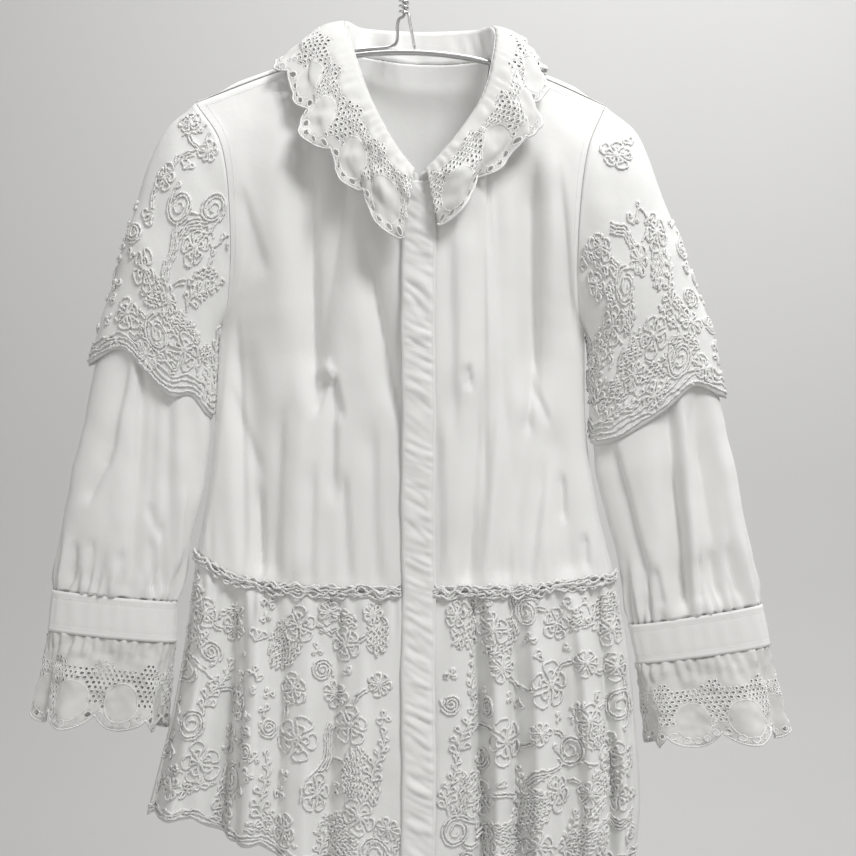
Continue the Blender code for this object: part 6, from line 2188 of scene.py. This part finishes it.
@dataclass
class Hanger:
    """The chrome wire hanger: hook wire, wrapped wire and shoulder bar."""

    wire_radius: float = 0.0016
    twist_radius: float = 0.00144
    bar_radius: float = 0.0028
    hook_radius: float = 0.0180
    twist_turns: int = 4
    twist_top: float = -0.0640
    twist_bottom: float = -0.0850
    stem: Rows = ((0.004, -0.05), (0.0008, -0.057), (0.0, -0.064), (0.0, -0.075))
    bar_line: Rows = ((-0.186, -0.1715), (-0.155, -0.159), (-0.12, -0.146), (-0.085, -0.1342),
                      (-0.052, -0.1253), (-0.02, -0.1218), (0.012, -0.1216), (0.045, -0.1243),
                      (0.08, -0.1309), (0.115, -0.1444), (0.15, -0.1596), (0.18, -0.1733))
    left_leg: Rows = ((0.0, -0.086), (-0.0045, -0.0895), (-0.0062, -0.096), (-0.0064, -0.108),
                      (-0.0085, -0.1135), (-0.015, -0.1164), (-0.03, -0.1178), (-0.05, -0.1198))
    right_leg: Rows = ((0.0046, -0.0858), (0.0056, -0.093), (0.0076, -0.104), (0.0094, -0.114),
                       (0.0104, -0.1181))

    def wire(self, name: str, points: list[Vector], radius: float,
             material: bpy.types.Material, node: str) -> None:
        """Make one wire with rounded ends.

        Args:
            name: the piece's name.
            points: its middle line.
            radius: its radius.
            material: its finish.
            node: the CAD node that it stands for.
        """
        smooth = []
        for index in range(len(points) - 1):
            before = points[max(index - 1, 0)]
            start, end = points[index], points[index + 1]
            after = points[min(index + 2, len(points) - 1)]
            for step in range(5):
                t = step / 5
                smooth.append(0.5 * (2 * start + (end - before) * t
                                     + (2 * before - 5 * start + 4 * end - after) * t ** 2
                                     + (3 * start - before - 3 * end + after) * t ** 3))
        smooth.append(points[-1])
        curve = bpy.data.curves.new(name + "_path", "CURVE")
        curve.dimensions = "3D"
        curve.bevel_depth = radius
        curve.bevel_resolution = 5
        curve.use_fill_caps = True
        spline = curve.splines.new("POLY")
        first, last = smooth[0], smooth[-1]
        into, out = (smooth[1] - first).normalized(), (smooth[-2] - last).normalized()
        caps = ((0.02, 0.35), (0.25, 0.80), (0.9, 1.0))
        line = [(first + into * radius * at, size) for at, size in caps]
        line += [(place, 1.0) for place in smooth[2:-2]]
        line += [(last + out * radius * at, size) for at, size in reversed(caps)]
        spline.points.add(len(line) - 1)
        for item, (place, size) in zip(spline.points, line):
            item.co = (*place, 1.0)
            item.radius = size
        dress(swept(name, curve), material, [node])

    def hook(self) -> list[Vector]:
        """Middle line of the hook wire: tip, crown, stem and left leg."""
        reach = self.hook_radius + self.wire_radius
        centre = Vector((0.0, 0.0, -self.hook_radius))
        points = [centre + reach * Vector((math.cos(angle), 0.0, math.sin(angle)))
                  for angle in (math.radians(200 - 15 * step) for step in range(17))]
        return points + in_plane((*self.stem, *self.left_leg))

    def twist(self) -> list[Vector]:
        """Middle line of the wrapped wire: turns round the stem, then the right leg."""
        reach = 2 * self.wire_radius + 0.0004
        points = []
        for step in range(self.twist_turns * 8 + 1):
            angle = math.tau * step / 8
            share = step / (self.twist_turns * 8)
            height = self.twist_top + (self.twist_bottom - self.twist_top) * share
            points.append(Vector((reach * math.cos(angle), reach * math.sin(angle), height)))
        return points + in_plane(self.right_leg)

    def build(self, wardrobe: Wardrobe) -> None:
        """Make the three wires."""
        for node, line, radius in (("hanger_hook", self.hook(), self.wire_radius),
                                   ("hanger_twist", self.twist(), self.twist_radius),
                                   ("hanger_bar", in_plane(self.bar_line), self.bar_radius)):
            self.wire(node + "_wire", line, radius, wardrobe.chrome, node)


@dataclass
class Studio:
    """Pale wall and floor in one sweep, soft lights and the camera."""

    floor: float = -1.75
    wall: float = 2.70
    sweep: float = 0.9
    width: float = 12.0
    front: float = -4.0
    rise: float = 4.2
    camera_place: tuple[float, float, float] = (0.0228, -1.3, -0.478)
    lens: float = 57.55

    def backdrop(self) -> None:
        """A floor that sweeps up into a wall."""
        bm = bmesh.new()
        bmesh.ops.create_grid(bm, x_segments=2, y_segments=40, size=0.5)
        turn = math.pi / 2 * self.sweep
        run = self.wall - self.sweep - self.front
        total = run + turn + self.rise
        for vert in bm.verts:
            at = (vert.co.y + 0.5) * total
            x = vert.co.x * self.width
            if at < run:
                vert.co = Vector((x, self.front + at, self.floor))
            elif at < run + turn:
                angle = (at - run) / self.sweep
                vert.co = Vector((x, self.wall - self.sweep * (1 - math.sin(angle)),
                                  self.floor + self.sweep * (1 - math.cos(angle))))
            else:
                vert.co = Vector((x, self.wall, self.floor + self.sweep + at - run - turn))
        item = link_mesh("backdrop", bm)
        item.data.materials.append(StageFinish("Pale wall").material())

    def light(self, name: str, place: Sequence[float], aim: Sequence[float], size: float,
              watts: float) -> None:
        """Add a soft square light.

        Args:
            name: its name.
            place: where it stands.
            aim: what it points at.
            size: its side.
            watts: its power.
        """
        data = bpy.data.lights.new(name, "AREA")
        data.size = size
        data.energy = watts
        item = add_object(name, data)
        item.location = place
        item.rotation_euler = (Vector(aim) - Vector(place)).to_track_quat("-Z", "Y").to_euler()

    def build(self) -> None:
        """Make the backdrop, lights and camera."""
        self.backdrop()
        scene = bpy.context.scene
        scene.view_settings.view_transform = "Standard"
        world = bpy.data.worlds.new("Soft room")
        world.use_nodes = True
        shade = world.node_tree.nodes["Background"]
        shade.inputs["Color"].default_value = (1.0, 0.975, 0.94, 1.0)
        shade.inputs["Strength"].default_value = 0.35
        scene.world = world
        self.light("Key", (1.05, -1.70, 1.45), (0.0, 0.0, -0.55), 0.8, 48.0)
        self.light("Fill", (-1.9, -2.2, 0.1), (0.0, 0.0, -0.5), 1.8, 8.0)
        self.light("Wall wash", (0.8, 0.6, 2.0), (0.8, 2.7, -0.6), 2.4, 74.0)
        data = bpy.data.cameras.new("Camera")
        data.lens = self.lens
        data.sensor_width = 36.0
        data.sensor_fit = "HORIZONTAL"
        camera = add_object("Camera", data)
        camera.location = self.camera_place
        camera.rotation_euler = (math.pi / 2, 0.0, 0.0)
        scene.camera = camera


def main() -> None:
    """Build every sub-assembly on the frame."""
    logging.basicConfig(level=logging.INFO, format="%(name)s %(message)s")
    noise.seed_set(NOISE_SEED)
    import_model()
    wardrobe = Wardrobe()
    Studio().build()
    bodice = Bodice()
    peplum = Peplum(bodice)
    bodice.build(wardrobe)
    peplum.build(wardrobe)
    ButtonBand(bodice, peplum).build(wardrobe)
    right_sleeve().build(wardrobe)
    left_sleeve().build(wardrobe)
    Collar().build(wardrobe)
    Hanger().build(wardrobe)


if __name__ == "__main__":
    main()
